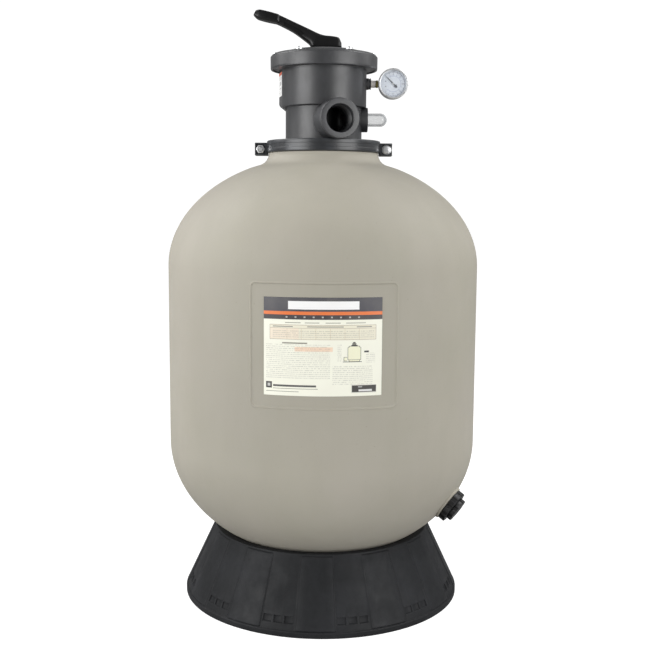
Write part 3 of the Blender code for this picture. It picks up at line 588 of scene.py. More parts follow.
def tank():
    outer = [(0, LOWER_DOME_Z - LOWER_RISE)] + ellipse(LOWER_RISE, LOWER_DOME_Z, -90, 0, 56)[1:]
    edges = around(PANEL_Z[0], 4.5, 0.5) + around(PANEL_Z[1], 4.5, 0.5)
    heights = sorted(set(np.round(edges + list(np.arange(276, 560, 9.0)), 3)))
    heights = [h for h in heights if h in np.round(edges, 3) or min(abs(h - e) for e in PANEL_Z) > 6]
    outer += [(TANK_R, h) for h in heights]
    outer += ellipse(UPPER_RISE, UPPER_DOME_Z, 0, 61.8, 44)
    outer += [(113, 728.2), (105, 730.6), (99, 734.2), (95.2, 738.5), (93, 743)]
    neck = rounded([(93, 743), (92.2, 746, 2), (92, 750.3, 1.2), (84, 750.3, 0.5), (84, 753.5, 0.5)], 4,
        closed=False)
    neck += rounded([(84, 753.5), (90, 753.5, 0.8), (90, 760, 0.8), (82, 760, 0.6), (82, 755)], 3,
        closed=False)[1:]
    inside = [(76, 755), (76, 743), (80, 737), (90, 731)]
    inside += ellipse(179, 562, 60.8, 0, 16, 254.35) + ellipse(194, 268, 0, -90, 24, 254.35)[:-1]
    inside += [(0, 74)]
    outline = np.array(outer + neck[1:] + inside)
    columns = [a for a in np.arange(-180, 180, 2.0) if min(abs(a - e) for e in PANEL_DEG) > 1.6]
    columns += around(PANEL_DEG[0], 1.2, 0.12) + around(PANEL_DEG[1], 1.2, 0.12)
    columns = np.sort(np.array(columns))
    azimuth, height = np.meshgrid(columns, outline[:, 1])
    radius = np.repeat(outline[:, 0][:, None], len(columns), axis=1)
    outside = (np.arange(len(outline)) < len(outer))[:, None] & (np.abs(radius - TANK_R) < 1e-6)
    across = np.radians(azimuth - sum(PANEL_DEG) / 2) * TANK_R
    half_width = math.radians(PANEL_DEG[1] - PANEL_DEG[0]) / 2 * TANK_R
    corner = 6.0
    dx = np.abs(across) - half_width + corner
    dz = np.abs(height - sum(PANEL_Z) / 2) - (PANEL_Z[1] - PANEL_Z[0]) / 2 + corner
    distance = np.hypot(np.maximum(dx, 0), np.maximum(dz, 0)) + np.minimum(np.maximum(dx, dz), 0) - corner
    depth = -1.1 * smooth_step((0.9 - distance) / 1.8) + 0.85 * np.exp(-(((distance - 1.7) / 1.0) ** 2))
    radius = radius + np.where(outside, depth, 0)
    turns = np.radians(azimuth)
    shell = skin(np.stack([radius * np.sin(turns), -radius * np.cos(turns), height], axis=-1))
    frame = drain_frame()
    pad = placed(lathe(rounded([(0, -12.5), (30, -12.5), (30, 2.0, 1.4), (0, 2.0)]), MEDIUM), frame)
    hole = placed(rod(20.3, -30, 20, MEDIUM), frame)
    piece("tank_fine", boolean(shell, ("UNION", pad), ("DIFFERENCE", hole)), "tank_shell", sharp_deg=40)


def stand():
    columns = []
    for number in range(STAND_PANELS):
        middle = STAND_PHASE_DEG + 360 / STAND_PANELS * number
        for offset, level in ((-7.9, 0), (-7.75, 0.12), (-7.4, 0.9), (-7.2, 1), (-4, 1), (0, 1), (4, 1)):
            columns.append((middle + offset, level, 0.0))
        for offset, level in ((7.2, 1), (7.4, 0.9), (7.75, 0.12), (7.9, 0)):
            columns.append((middle + offset, level, 0.0))
        for offset in (10.3, 14.8, 19.3):
            for step, depth in ((-1.95, 0), (-1.88, 0.1), (-1.7, 0.92), (-1.6, 1), (1.6, 1), (1.7, 0.92),
                (1.88, 0.1)):
                columns.append((middle + offset + step, 0.0, depth))
            columns.append((middle + offset + 1.95, 0.0, 0.0))
    azimuths, levels, depths = np.array(columns).T

    def skirt(height):
        return 231.5 - (height - 12) * 0.4676

    def seat(height):
        return TANK_R * math.sqrt(1 - ((height - LOWER_DOME_Z) / LOWER_RISE) ** 2) + 2.2

    foot = rounded([(228, 0), (235.6, 0, 0.8), (235.6, 8.6, 1.6), (232.6, 10.0, 1.2), (231.8, 12)], 4,
        closed=False)
    rows = [(r, z, 0.0, 0.0) for r, z in foot[:-1]]
    rows += [(skirt(10.4), 10.4, 0, 0), (skirt(10.7), 10.7, 0.15, 0), (skirt(11.4), 11.4, 0.92, 0)]
    rows += [(skirt(12), 12, 1, 0), (skirt(18), 18, 1, 0), (skirt(18.4), 18.4, 1, 0),
        (skirt(18.7), 18.7, 1, 0.1)]
    rows += [(skirt(19.5), 19.5, 1, 0.95), (skirt(19.9), 19.9, 1, 1), (skirt(27.6), 27.6, 1, 1)]
    rows += [(skirt(28.1), 28.1, 1, 0.92), (skirt(28.9), 28.9, 1, 0.1), (skirt(29.2), 29.2, 1, 0)]
    rows += [(skirt(z), z, 1, 0) for z in (40, 60, 80, 100, 112)]
    rows += [(skirt(112.5), 112.5, 0.92, 0), (skirt(113.4), 113.4, 0.12, 0), (skirt(113.8), 113.8, 0, 0)]
    top = rounded([(skirt(114.4), 114.4), (skirt(STAND_TOP_Z), STAND_TOP_Z, 0.7),
        (seat(STAND_TOP_Z), STAND_TOP_Z, 0.5), (seat(108), 108)], 3, closed=False)
    rows += [(r, z, 0, 0) for r, z in top]
    rows += [(seat(101), 101, 0, 0), (146, 97, 0, 0), (179.5, 111, 0, 0), (228, 8, 0, 0)]
    radii, heights, rise, sink = (np.array(row)[:, None] for row in zip(*rows))
    radius = radii + 2.0 * rise * levels - 2.4 * sink * depths
    turns = np.radians(azimuths)
    points = np.stack(
        [radius * np.sin(turns), -radius * np.cos(turns), np.repeat(heights, len(turns), axis=1)], axis=-1
    )
    piece("stand_fine", skin(points, wrap_rows=True), "tank_stand", sharp_deg=30)


def printed(name, node, marks, size, to_space, base, ink_zones=(), curve_steps=40):
    """A thin sheet whose faces take their colour from the last mark that covers them."""
    width, height = size
    across, up = {0.0, 1.0}, {0.0, 1.0}
    for left, low, right, high, _ in list(marks) + [(*zone, None) for zone in ink_zones]:
        across |= {left, right}
        up |= {low, high}
    across |= set(np.linspace(0, 1, curve_steps + 1))
    across, up = sorted(across), sorted(up)
    across = [a for n, a in enumerate(across) if n == 0 or a - across[n - 1] > 1e-4]
    up = [a for n, a in enumerate(up) if n == 0 or a - up[n - 1] > 1e-4]
    rows = [[to_space(u, v, 0.4) for u in across] for v in up]
    back = [[to_space(u, v, 0.0) for u in across] for v in up]
    made = bmesh.new()
    uv = made.loops.layers.uv.new("sheet")
    colours = made.loops.layers.float_color.new("Print")
    inks = made.loops.layers.float.new("Ink")
    front = [[made.verts.new(Vector(point) * MM) for point in row] for row in rows]
    rear = [[made.verts.new(Vector(point) * MM) for point in row] for row in back]

    def paint(face, colour, ink, spots):
        for loop, spot in zip(face.loops, spots):
            loop[uv].uv = (spot[0] * width, spot[1] * height)
            loop[colours] = colour
            loop[inks] = ink

    for j in range(len(up) - 1):
        for i in range(len(across) - 1):
            u, v = (across[i] + across[i + 1]) / 2, (up[j] + up[j + 1]) / 2
            colour, ink = base, 0.0
            for left, low, right, high, tone in marks:
                if left <= u <= right and low <= v <= high:
                    colour = tone
            for left, low, right, high in ink_zones:
                if left <= u <= right and low <= v <= high:
                    ink = 1.0
            ends = ((i, j), (i + 1, j), (i + 1, j + 1), (i, j + 1))
            spots = [(across[a], up[b]) for a, b in ends]
            paint(made.faces.new([front[b][a] for a, b in ends]), colour, ink, spots)
            paint(made.faces.new([rear[b][a] for a, b in reversed(ends)]), base, 0.0, spots)
    last_i, last_j = len(across) - 1, len(up) - 1
    walls = [((i, 0), (i + 1, 0)) for i in range(last_i)] + [((i + 1, last_j), (i, last_j))
        for i in range(last_i)]
    walls += [((last_i, j), (last_i, j + 1)) for j in range(last_j)] + [((0, j + 1), (0, j))
        for j in range(last_j)]
    for (a, b), (c, d) in walls:
        face = made.faces.new((rear[b][a], rear[d][c], front[d][c], front[b][a]))
        paint(face, base, 0.0, [(0, 0)] * 4)
    bmesh.ops.recalc_face_normals(made, faces=made.faces)
    piece(name, made, node)


def tank_label():
    slate, band = srgb(72, 72, 80), srgb(66, 62, 66)
    cream, grey, ink = srgb(247, 247, 232), srgb(150, 148, 138), srgb(48, 48, 50)
    white, rule, buff = srgb(250, 250, 250), srgb(166, 148, 128), srgb(238, 234, 214)
    marks = [(0, 0.858, 1, 1, slate), (0, 0.824, 1, 0.858, srgb(236, 122, 62)), (0, 0.777, 1, 0.824, band)]
    marks += [(0.21, 0.879, 0.8, 0.962, white)]
    for number in range(9):
        marks.append((0.19 + 0.075 * number, 0.794, 0.205 + 0.075 * number, 0.809, srgb(190, 186, 184)))
    for start, length in ((0.185, 0.13), (0.35, 0.12), (0.52, 0.125), (0.69, 0.165)):
        marks.append((start, 0.741, start + length, 0.748, grey))
    marks += [(0.053, 0.574, 0.947, 0.724, rule), (0.056, 0.578, 0.944, 0.72, buff)]
    marks += [(0.056, 0.578, 0.3, 0.69, srgb(242, 230, 210)), (0.056, 0.688, 0.944, 0.691, rule)]
    for column in (0.2, 0.32, 0.44, 0.56, 0.68, 0.8):
        marks.append((column, 0.578, column + 0.0025, 0.69, srgb(205, 190, 160)))
    for start, length in ((0.08, 0.17), (0.37, 0.3), (0.78, 0.13)):
        marks.append((start, 0.7, start + length, 0.71, grey))
    marks += [(0.16, 0.532, 0.37, 0.545, srgb(140, 138, 126))]
    marks += [(0.266, 0.455, 0.581, 0.5, srgb(246, 220, 196))]
    marks += drawing(ink, srgb(244, 243, 214))
    marks += [(0.845, 0.445, 0.885, 0.462, ink)]
    marks += [(0.02, 0.075, 0.072, 0.14, ink), (0.034, 0.092, 0.058, 0.123, srgb(200, 200, 196))]
    marks += [(0.082, 0.092, 0.445, 0.112, srgb(84, 84, 84)), (0.082, 0.07, 0.46, 0.076, grey)]
    marks += [(0.02, 0.04, 0.3, 0.046, grey)]
    marks += [(0.735, 0.03, 0.955, 0.118, srgb(228, 227, 216)), (0.743, 0.04, 0.951, 0.11, ink)]
    marks += [(0.8, 0.048, 0.915, 0.068, srgb(225, 225, 225)),
        (0.795, 0.088, 0.83, 0.102, srgb(160, 160, 160))]
    zones = [(0.02, 0.17, 0.56, 0.525), (0.58, 0.12, 0.92, 0.31), (0.08, 0.585, 0.93, 0.675),
        (0.86, 0.34, 0.94, 0.44)]
    zones += [(0.62, 0.35, 0.655, 0.53)]
    low, high = (math.radians(value) for value in LABEL_DEG)

    def to_space(u, v, out):
        turn, radius = low + (high - low) * u, LABEL_R + out
        return (radius * math.sin(turn), -radius * math.cos(turn), LABEL_Z[0] + (LABEL_Z[1] - LABEL_Z[0]) * v)

    size = ((high - low) * LABEL_R, LABEL_Z[1] - LABEL_Z[0])
    printed("tank_label_fine", "tank_label", marks, size, to_space, cream, zones)


def drawing(ink, fill):
    """Marks of a small outline of a filter: tank, dome, valve, foot and pump."""
    marks = [(0.705, 0.37, 0.818, 0.5, ink), (0.709, 0.374, 0.814, 0.497, fill)]
    marks += [(0.715, 0.497, 0.808, 0.512, ink), (0.719, 0.495, 0.804, 0.508, fill)]
    marks += [(0.735, 0.508, 0.788, 0.522, ink), (0.742, 0.522, 0.778, 0.54, srgb(120, 122, 112))]
    marks += [(0.75, 0.54, 0.77, 0.552, ink), (0.715, 0.352, 0.808, 0.37, ink),
        (0.719, 0.356, 0.804, 0.37, fill)]
    marks += [(0.665, 0.348, 0.825, 0.354, ink), (0.672, 0.36, 0.7, 0.4, ink),
        (0.676, 0.364, 0.7, 0.396, fill)]
    return marks


def valve_label():
    marks = [(0, 0.88, 1, 1, srgb(226, 92, 54)), (0.12, 0.68, 0.88, 0.8, srgb(214, 214, 212))]
    marks += [(0.3, 0.46, 0.7, 0.62, srgb(176, 176, 178)), (0.2, 0.3, 0.8, 0.36, srgb(186, 186, 186))]
    frame = along(Vector((-44, -7.8, 0)), (-72.1, 3, 863.5))
    out = frame.to_3x3().col[2].normalized()
    up = Vector((0, 0, 1))
    across = up.cross(out)

    def to_space(u, v, lift):
        middle = Vector((-72.1, 3, 863.5))
        return middle + across * (34 * (u - 0.5)) + up * (39 * (v - 0.5)) + out * (0.3 + lift)

    printed("valve_label_fine", "valve_label", marks, (34, 39), to_space, srgb(240, 240, 240),
        [(0.1, 0.06, 0.9, 0.28)])


def clamp_half(name, node, turn):
    low, high = 750.8, 770.2
    section = rounded(
        [(85, low), (95, low, 1.4), (95, 757.2, 0.3), (94.5, 757.6), (94.5, 763.4), (95, 763.8, 0.3)]
        + [(95, high, 1.6), (85, high, 0.8), (85, 767.9), (90.6, 767.9), (90.6, 753.1), (85, 753.1)],
        4,
    )
    rows = []
    for azimuth in np.linspace(-89, 89, 90):
        out = heading(azimuth)
        rows.append([out * radius + Vector((0, 0, height)) for radius, height in section])
    band = skin(rows)
    ears = together(
        box((93.2, -13, 746), (114.8, -1.9, 767), 0.8),
        box((-114.8, -13, 746), (-93.2, -1.9, 767), 0.8),
    )
    seats = together(
        box((97.5, -20, 748.6), (120, -7, 764.4)),
        box((-113.2, -20, 748.6), (-97.5, -7, 764.4)),
    )
    holes = [placed(rod(4.4, -20, 20, 24), facing_front((side * BOLT_X, 0, BOLT_Z))) for side in (-1, 1)]
    webs = [box((-97.9, -12.6, 756.0), (-92, -6.5, 757.3)), box((93, -12.6, 755.5), (98, -6.5, 757.0))]
    webs += [box((-114, -12.6, 750.5), (-111.4, -6.5, 752.3)),
        box((-114, -12.6, 760.8), (-111.4, -6.5, 762.6))]
    webs += [box((-100.5, -12.6, 761.2), (-96.5, -6.5, 765)), box((97, -12.4, 761.4), (99.6, -6.5, 765))]
    made = boolean(
        band, ("UNION", ears), ("DIFFERENCE", seats), ("DIFFERENCE", together(*holes)),
            ("UNION", together(*webs))
    )
    piece(name, placed(made, turn), node)


def hexagon(radius, height, sides=6):
    return [(radius * math.cos(math.tau * s / sides), radius * math.sin(math.tau * s / sides), height)
        for s in range(sides)]


def clamp():
    clamp_half("clamp_front_fine", "clamp_front", WHOLE)
    clamp_half("clamp_rear_fine", "clamp_rear", HALF_TURN)
    frame = facing_front((BOLT_X, 0, BOLT_Z))
    for side, turn in (("right", WHOLE), ("left", HALF_TURN)):
        head = softened(skin([hexagon(7.2, 9.0), hexagon(7.2, 12.2)]), 0.7)
        flange = lathe(rounded([(0, 7.3), (8.2, 7.3, 0.3), (8.0, 8.6, 0.5), (0, 9.0)]), SMALL)
        shank = lathe([(0, -12.8), (3.4, -12.8), (4, -12.2), (4, 7.5), (0, 7.5)], 24)
        bolt = boolean(head, ("UNION", flange), ("UNION", shank))
        piece(f"clamp_bolt_{side}_fine", placed(placed(bolt, frame), turn), f"clamp_bolt_{side}")
        nut = softened(skin([hexagon(7.5, -12), hexagon(7.5, -7.3)]), 0.6)
        nut = boolean(nut, ("DIFFERENCE", rod(4.5, -20, 0, 24)))
        piece(f"clamp_nut_{side}_fine", placed(placed(nut, frame), turn), f"clamp_nut_{side}")


def port_shape(inner, radius):
    outline = [(0, inner), (radius, inner), (radius, 97.5, 0.3), (radius - 0.5, 98), (radius - 0.5, 99)]
    outline += [(radius, 99.5, 0.3), (radius, 105, 1.5), (0, 105)]
    return lathe(rounded(outline), MEDIUM)


def port_bore(inner):
    """Bore with a chamfered mouth and the crests of a pipe thread."""
    outline = [(0, inner), (19.5, inner), (19.5, 74)]
    for turn in range(8):
        start = 76 + 2.8 * turn
        outline += [(20.9, start), (21.7, start + 0.7), (21.7, start + 1.5), (20.9, start + 2.1)]
    outline += [(21.7, 99.5), (22.0, 103.6), (23.2, 105.2), (23.2, 120), (0, 120)]
    return lathe(outline, MEDIUM, 1.0)


def windows(low, high, azimuths, half=22):
    parts = []
    for azimuth in azimuths:
        outline = [heading(azimuth + step) * 55 for step in np.linspace(-half, half, 9)]
        outline += [heading(azimuth + step) * 34 for step in np.linspace(half, -half, 9)]
        parts.append(prism([(point.x, point.y) for point in outline], low, high))
    return together(*parts)


def screw_holes(radius, low, high):
    return together(*(placed(rod(radius, low, high, 24), moved(*(heading(a) * 80))) for a in SCREW_AZIMUTHS))


def valve_body():
    outline = [(0, 738), (75, 738, 0.6), (75, 760.3), (90, 760.3, 0.5), (90, 767.5, 0.8), (65.6, 767.5, 1.4)]
    outline += [(63.7, 770.5, 1.5), (63.7, LEDGE_Z, 1.0), (71, LEDGE_Z, 1.6), (71, 888, 1.2), (84, 888, 0.8)]
    outline += [(84, 897.2, 0.6), (0, 897.2)]
    body = lathe(rounded(outline), FINE, 1.3)
    front = along(heading(14.5), (0, 0, PORT_Z))
    rear = [along((0, 1, 0), (side * 30.5, 0, PORT_Z)) for side in (-1, 1)]
    across = along((1, 0, 0), (0, 0, SIGHT_Z))
    gauge_line = along((1, 0, 0), (0, 0, GAUGE_Z))
    bosses = [placed(port_shape(40, FRONT_PORT_R), front)] + [placed(port_shape(21, REAR_PORT_R), frame)
        for frame in rear]
    bosses.append(placed(lathe(rounded([(0, 40), (20.2, 40), (20.2, 73.6, 1.2), (0, 73.6)]), MEDIUM), across))
    boss = [(0, 60), (9.5, 60), (9.5, 74.5, 0.5), (8.6, 75.2), (8.6, 76.2), (9.3, 76.8, 0.4),
        (9.3, 78.3, 0.6)]
    bosses.append(placed(lathe(rounded(boss + [(0, 78.3)]), SMALL), gauge_line))
    points = [(x, y, z) for x, y in ((-76, 25), (-68.2, -19), (-45, -19), (-45, 25)) for z in (830.5, 888.6)]
    points += [(x, y, 819.5) for x in (-62.5, -45) for y in (-15, 22)]
    riser = softened(hull(points), 1.8, 3, 20)
    steps = [("UNION", boss) for boss in bosses] + [("UNION", riser)]
    lower = [(30, 730), (68, 730), (68, 758), (58, 766), (58, 822), (30, 822)]
    upper = [(0, 730), (24.8, 730), (24.8, 832), (66, 832), (66, 905), (0, 905)]
    groove = [(68, 893.8), (72, 893.8), (72, 905), (68, 905)]
    steps += [("DIFFERENCE", together(*(lathe(cavity, FINE, 2.7) for cavity in (lower, upper, groove))))]
    steps += [("DIFFERENCE", windows(815, 840, range(0, 360, 60)))]
    ribs = [placed(box((28.5, -1.5, 770), (59.5, 1.5, 823)), spin(azimuth - 90))
        for azimuth in (130, 180, -60)]
    steps += [("UNION", together(*ribs))]
    bores = [placed(port_bore(42), front)] + [placed(port_bore(34), frame) for frame in rear]
    bores.append(placed(lathe([(0, 40), (7, 40), (7, 60), (11.4, 60), (11.4, 80), (0, 80)], SMALL, 2),
        across))
    bores.append(placed(rod(5.7, 60, 85, 24), gauge_line))
    steps += [("DIFFERENCE", together(*bores)), ("DIFFERENCE", screw_holes(2.7, 880, 900))]
    tubes = [f"{name}_port_tube" for name in ("waste", "pump", "return")]
    piece("valve_body_fine", boolean(body, *steps), "valve_body", *tubes)


def digit(text, size, depth):
    """Raised figure lying in XY, centred on the origin."""
    curve = bpy.data.curves.new("figure", "FONT")
    curve.body, curve.align_x, curve.align_y = text, "CENTER", "CENTER"
    curve.size, curve.extrude, curve.resolution_u = size * MM, depth * MM / 2, 3
    item = bpy.data.objects.new("figure", curve)
    bpy.context.collection.objects.link(item)
    graph = bpy.context.evaluated_depsgraph_get()
    made = bmesh.new()
    made.from_mesh(item.evaluated_get(graph).to_mesh())
    bpy.data.objects.remove(item)
    bpy.data.curves.remove(curve)
    return made


def valve_cover():
    outline = [(9.4, 884), (15, 884), (15, 905.5), (58, 905.5), (62, 901), (62, 893), (65.6, 893),
        (65.6, 897.5)]
    outline += [(84.6, 897.5), (84.6, 886.5, 0.3), (88.5, 886.5, 0.9), (88.9, 889.5, 0.6), (89.1, 907, 1.8)]
    outline += [(85.2, 911, 1.5), (75, 911, 0.8), (61, 916.5, 1.5), (26, 917, 0.6), (26, 915.2), (9.4, 915.2)]
    cover = lathe(rounded(outline), FINE, 1.3)
    notches = [placed(box((30, -1.5, 915.4), (57, 1.5, 920)), spin(azimuth - 90))
        for azimuth in SCREW_AZIMUTHS]
    dent = placed(box((-2.2, 85.8, 906.8), (2.2, 92, 914)), spin(113))
    figures = []
    for number, azimuth in enumerate(range(-120, 240, 60), 1):
        mark = placed(digit(str(number), 9, 0.8),
            moved(*(heading(azimuth) * 69 + Vector((0, 0, 913.6)))) @ spin(azimuth))
        figures.append(mark)
    made = boolean(
        cover,
        ("DIFFERENCE", screw_holes(2.8, 890, 920)),
        ("DIFFERENCE", together(*notches)),
        ("DIFFERENCE", dent),
    )
    piece("valve_cover_fine", made, "valve_cover")
    return figures


def cover_screws():
    dome = [(5.6, 911.3), (5.6, 913.4, 0.6), (4.4, 915.4, 0.9), (0, 915.9)]
    outline = [(0, 889), (2.4, 889), (2.4, 911.3)] + rounded(dome, 4, closed=False)
    for number, azimuth in enumerate(SCREW_AZIMUTHS, 1):
        cross = boolean(box((-3, -0.5, 914.4), (3, 0.5, 918)),
            ("UNION", box((-0.5, -3, 914.4), (0.5, 3, 918))))
        screw = boolean(lathe(outline, SMALL), ("DIFFERENCE", cross))
        screw = placed(screw, moved(*(heading(azimuth) * 80)) @ spin(37 * number))
        piece(f"cover_screw_{number}_fine", screw, f"cover_screw_{number}")


def handle():
    """Lever lofted through (top, bottom, half width) stations, with a cam heel and a recess on each side."""
    stations = [
        ((-112.5, 983), (-117, 975), 9),
        ((-106, 984), (-110, 969), 12),
        ((-92, 981), (-94, 964.7), 13.5),
        ((-76.5, 976.8), (-79.5, 962), 13.5),
        ((-73.5, 975), (-76, 960.3), 12.0),
        ((-71.5, 974.3), (-73.5, 959.3), 11.5),
        ((-50, 964.6), (-52, 948.5), 11.5),
        ((-27.7, 954.5), (-35, 936.8), 13),
        ((-14, 948), (-24.5, 928.6), 15),
        ((-6.6, 944.9), (-21, None), 16),
        ((2, 942.8), (-13.3, None), 16),
        ((13.5, 941.8), (0, 918.8), 16),
        ((24.2, 939.3), (20, 919.5), 16),
        ((28.5, 931), (29, 922), 14),
    ]
    frames = []
    for top, bottom, half in stations:
        low = bottom[1] if bottom[1] is not None else PIN_Z - math.sqrt(11.4**2 - (bottom[0] + 13.3) ** 2)
        frames.append((top[0], top[1], bottom[0], low, half))
    frames = np.array(frames)
    fine = []
    for number in range(len(frames) - 1):
        before = frames[max(number - 1, 0)]
        here, after = frames[number], frames[number + 1]
        beyond = frames[min(number + 2, len(frames) - 1)]
        for share in np.linspace(0, 1, 6)[:-1]:
            curve = 0.5 * (
                2 * here
                + (after - before) * share
                + (2 * before - 5 * here + 4 * after - beyond) * share**2
                + (3 * here - before - 3 * after + beyond) * share**3
            )
            fine.append(curve * 0.75 + (here + (after - here) * share) * 0.25)
    fine.append(frames[-1])
    rings = []
    for top_x, top_z, low_x, low_z, half in fine:
        top, low = Vector((top_x, 0, top_z)), Vector((low_x, 0, low_z))
        middle, up = (top + low) / 2, (top - low) / 2
        ring = squarish(half, 1, 40, 0.5)
        peak = ring[:, 1].max()
        rings.append([middle + Vector((0, a, 0)) + up * (b / peak) for a, b in ring])
    lever = softened(skin(rings), 1.4, 3, 50)
    steps = [("DIFFERENCE", box((-12.3, -5.6, 905), (12.3, 5.6, 939.5)))]
    steps += [("DIFFERENCE", placed(rod(2.45, -14.4, 14.4, 24), facing_front((0, 0, PIN_Z))))]
    slot = [(-66, 963.2), (-40, 951.2), (-33, 944.2), (-37, 942.0), (-66, 957.0)]
    for side in (-1, 1):
        face = prism(slot, 10.2, 16) if side > 0 else prism(slot, -16, -10.2)
        steps.append(("DIFFERENCE", placed(face, Matrix.Rotation(math.pi / 2, 4, "X"))))
    piece("handle_fine", boolean(lever, *steps), "valve_handle", sharp_deg=38)
    washer = rounded([(9.6, 915.5, 0.3), (25, 915.5, 0.4), (25, 918.2, 0.6), (9.6, 918.2, 0.4)], 3)
    piece("handle_washer_fine", lathe(washer, MEDIUM), "handle_washer")
    pin = lathe(rounded([(0, -14), (2, -14, 0.5), (2, 14, 0.5), (0, 14)], 3), 32)
    piece("handle_pin_fine", placed(pin, facing_front((0, 0, PIN_Z))), "handle_pin")


def gauge():
    frame = facing_front((GAUGE_X, 0, GAUGE_Z))
    line = along((1, 0, 0), (0, 0, GAUGE_Z))
    stem = [(0, 69), (5.0, 69), (5.3, 70), (5.3, 86.4), (6.2, 86.6, 0.3), (6.2, 90, 0.3), (4.5, 90.4),
        (4.5, 98), (0, 98)]
    piece("gauge_stem_fine", placed(lathe(rounded(stem, 3), SMALL), line), "gauge_stem")
    tape = [(5.65, 78.7)]
    for number in range(6):
        start = 78.7 + 1.2 * number
        tape += [(5.92, start), (6.05, start + 0.9), (5.9, start + 1.15)]
    tape += [(5.65, 85.9)]
    piece("thread_tape_fine", placed(lathe(tape, SMALL), line), "thread_tape")
    case = [(0, -13), (23.0, -13, 1.2), (24.2, -11.6, 1.0), (24.2, 9), (22.7, 9), (22.7, -11.4), (0, -11.4)]
    hole = placed(rod(4.9, 85, 96, 32), line)
    shell = boolean(placed(lathe(rounded(case), MEDIUM), frame), ("DIFFERENCE", hole))
    piece("gauge_case_fine", shell, "gauge_case")
    bezel = [(21.8, 12.3), (21.8, 13.0, 0.2), (22.6, 13.2, 0.2), (24.3, 13.2, 0.6), (25, 12.4, 0.6),
        (25, 5.2, 0.3)]
    bezel += [(24.5, 5), (24.5, 12.3)]
    piece("gauge_bezel_fine", placed(lathe(rounded(bezel), MEDIUM), frame), "gauge_bezel")
    lens = lathe(rounded([(0, 10.4), (24.1, 10.4, 0.3), (24.1, 12, 0.3), (0, 12)], 2), MEDIUM)
    window = piece("gauge_lens_fine", placed(lens, frame), "gauge_lens")
    window.data.materials[0] = window_look()
    gauge_dial(frame)
    arrow = [(17.8, 0.12), (9, 0.62), (0, 0.95), (-3.6, 0.9), (-4.2, 2.9), (-8.8, 1.2), (-8.8, -1.2),
        (-4.2, -2.9), (-3.6, -0.9)]
    arrow += [(0, -0.95), (9, -0.62), (17.8, -0.12)]
    pointer = placed(prism(arrow, 8, 8.5), spin(135))
    piece("gauge_needle_fine", placed(pointer, frame), "gauge_needle")
    hub = lathe(rounded([(0, 7.9), (1.5, 7.9), (1.5, 9.0, 0.4), (0.8, 9.3, 0.2), (0, 9.3)], 3), 32)
    piece("gauge_needle_hub", placed(hub, frame), body=BODIES["gauge_needle"], slot="inner_plastic")


def gauge_dial(frame):
    """Round dial with two printed scales of ticks round 270 degrees, and their numbers."""
    angles = [math.radians(135 - 4.5 * step) for step in range(61)]
    radii = [1.4, 12.4, 12.65, 13.6, 14.9, 17.2, 18.9, 19.15, 20.3, 22.3]
    blue, ink, pale = srgb(150, 162, 200), srgb(112, 118, 140), srgb(242, 248, 255)
    turns = []
    for number, angle in enumerate(angles):
        half = 0.016 if number % 5 == 0 else 0.009
        turns += [(angle + half, number), (angle - half, number)]
    low = turns[-1][0] + math.tau
    blanks = [low + (turns[0][0] - low) * step / 12 for step in range(1, 12)]
    columns = [angle for angle, _ in turns] + [angle - math.tau for angle in blanks]
    made = bmesh.new()
    uv = made.loops.layers.uv.new("sheet")
    colours = made.loops.layers.float_color.new("Print")
    made.loops.layers.float.new("Ink")
    grid = [[made.verts.new(Vector((r * math.cos(a), r * math.sin(a), 7.0)) * MM) for a in columns]
        for r in radii]
    below = [[made.verts.new(Vector((r * math.cos(a), r * math.sin(a), 6.4)) * MM) for a in columns]
        for r in radii]
    count, last = len(columns), len(radii) - 1

    def tone(ring, column):
        tick = column < len(turns) and column % 2 == 0
        number = turns[column][1] if tick else 0
        scale = column < len(turns) - 1
        if ring == 1 and scale or ring == 6 and scale:
            return blue if ring == 1 else ink
        if tick and ring == 7 or tick and ring == 2:
            return ink if ring == 7 else blue
        if tick and number % 5 == 0 and ring in (3, 8):
            return blue if ring == 3 else pale
        if tick and number % 5 == 0 and ring == 5:
            return ink
        return pale

    for ring in range(last):
        for column in range(count):
            step = (column + 1) % count
            for rows, flip in ((grid, False), (below, True)):
                corners = [rows[ring][column], rows[ring + 1][column], rows[ring + 1][step], rows[ring][step]]
                face = made.faces.new(corners[::-1] if flip else corners)
                for loop in face.loops:
                    loop[colours] = pale if flip else tone(ring, column)
                    loop[uv].uv = (0.2, 0.9)
    for ring in (0, last):
        for column in range(count):
            step = (column + 1) % count
            face = made.faces.new((grid[ring][column], grid[ring][step], below[ring][step],
                below[ring][column]))
            for loop in face.loops:
                loop[colours] = pale
    bmesh.ops.recalc_face_normals(made, faces=made.faces)
    piece("gauge_dial_fine", placed(made, frame), "gauge_dial")
    figures = []
    for number in range(0, 61, 10):
        turn = math.radians(135 - 270 * number / 60)
        # The dial is fitted a quarter turn round, with its stem on the left.
        place = Vector((16.0 * math.cos(turn), 16.0 * math.sin(turn), 7.06))
        figures.append(placed(digit(str(number), 2.1, 0.1), moved(*place) @ spin(-90)))
    figures += [placed(rod(0.75, 7.02, 7.3, 24), moved(-12.5, y)) for y in (-4.2, 4.2)]
    piece("gauge_marks", placed(together(*figures), frame), body=BODIES["gauge_dial"], slot="needle_black")


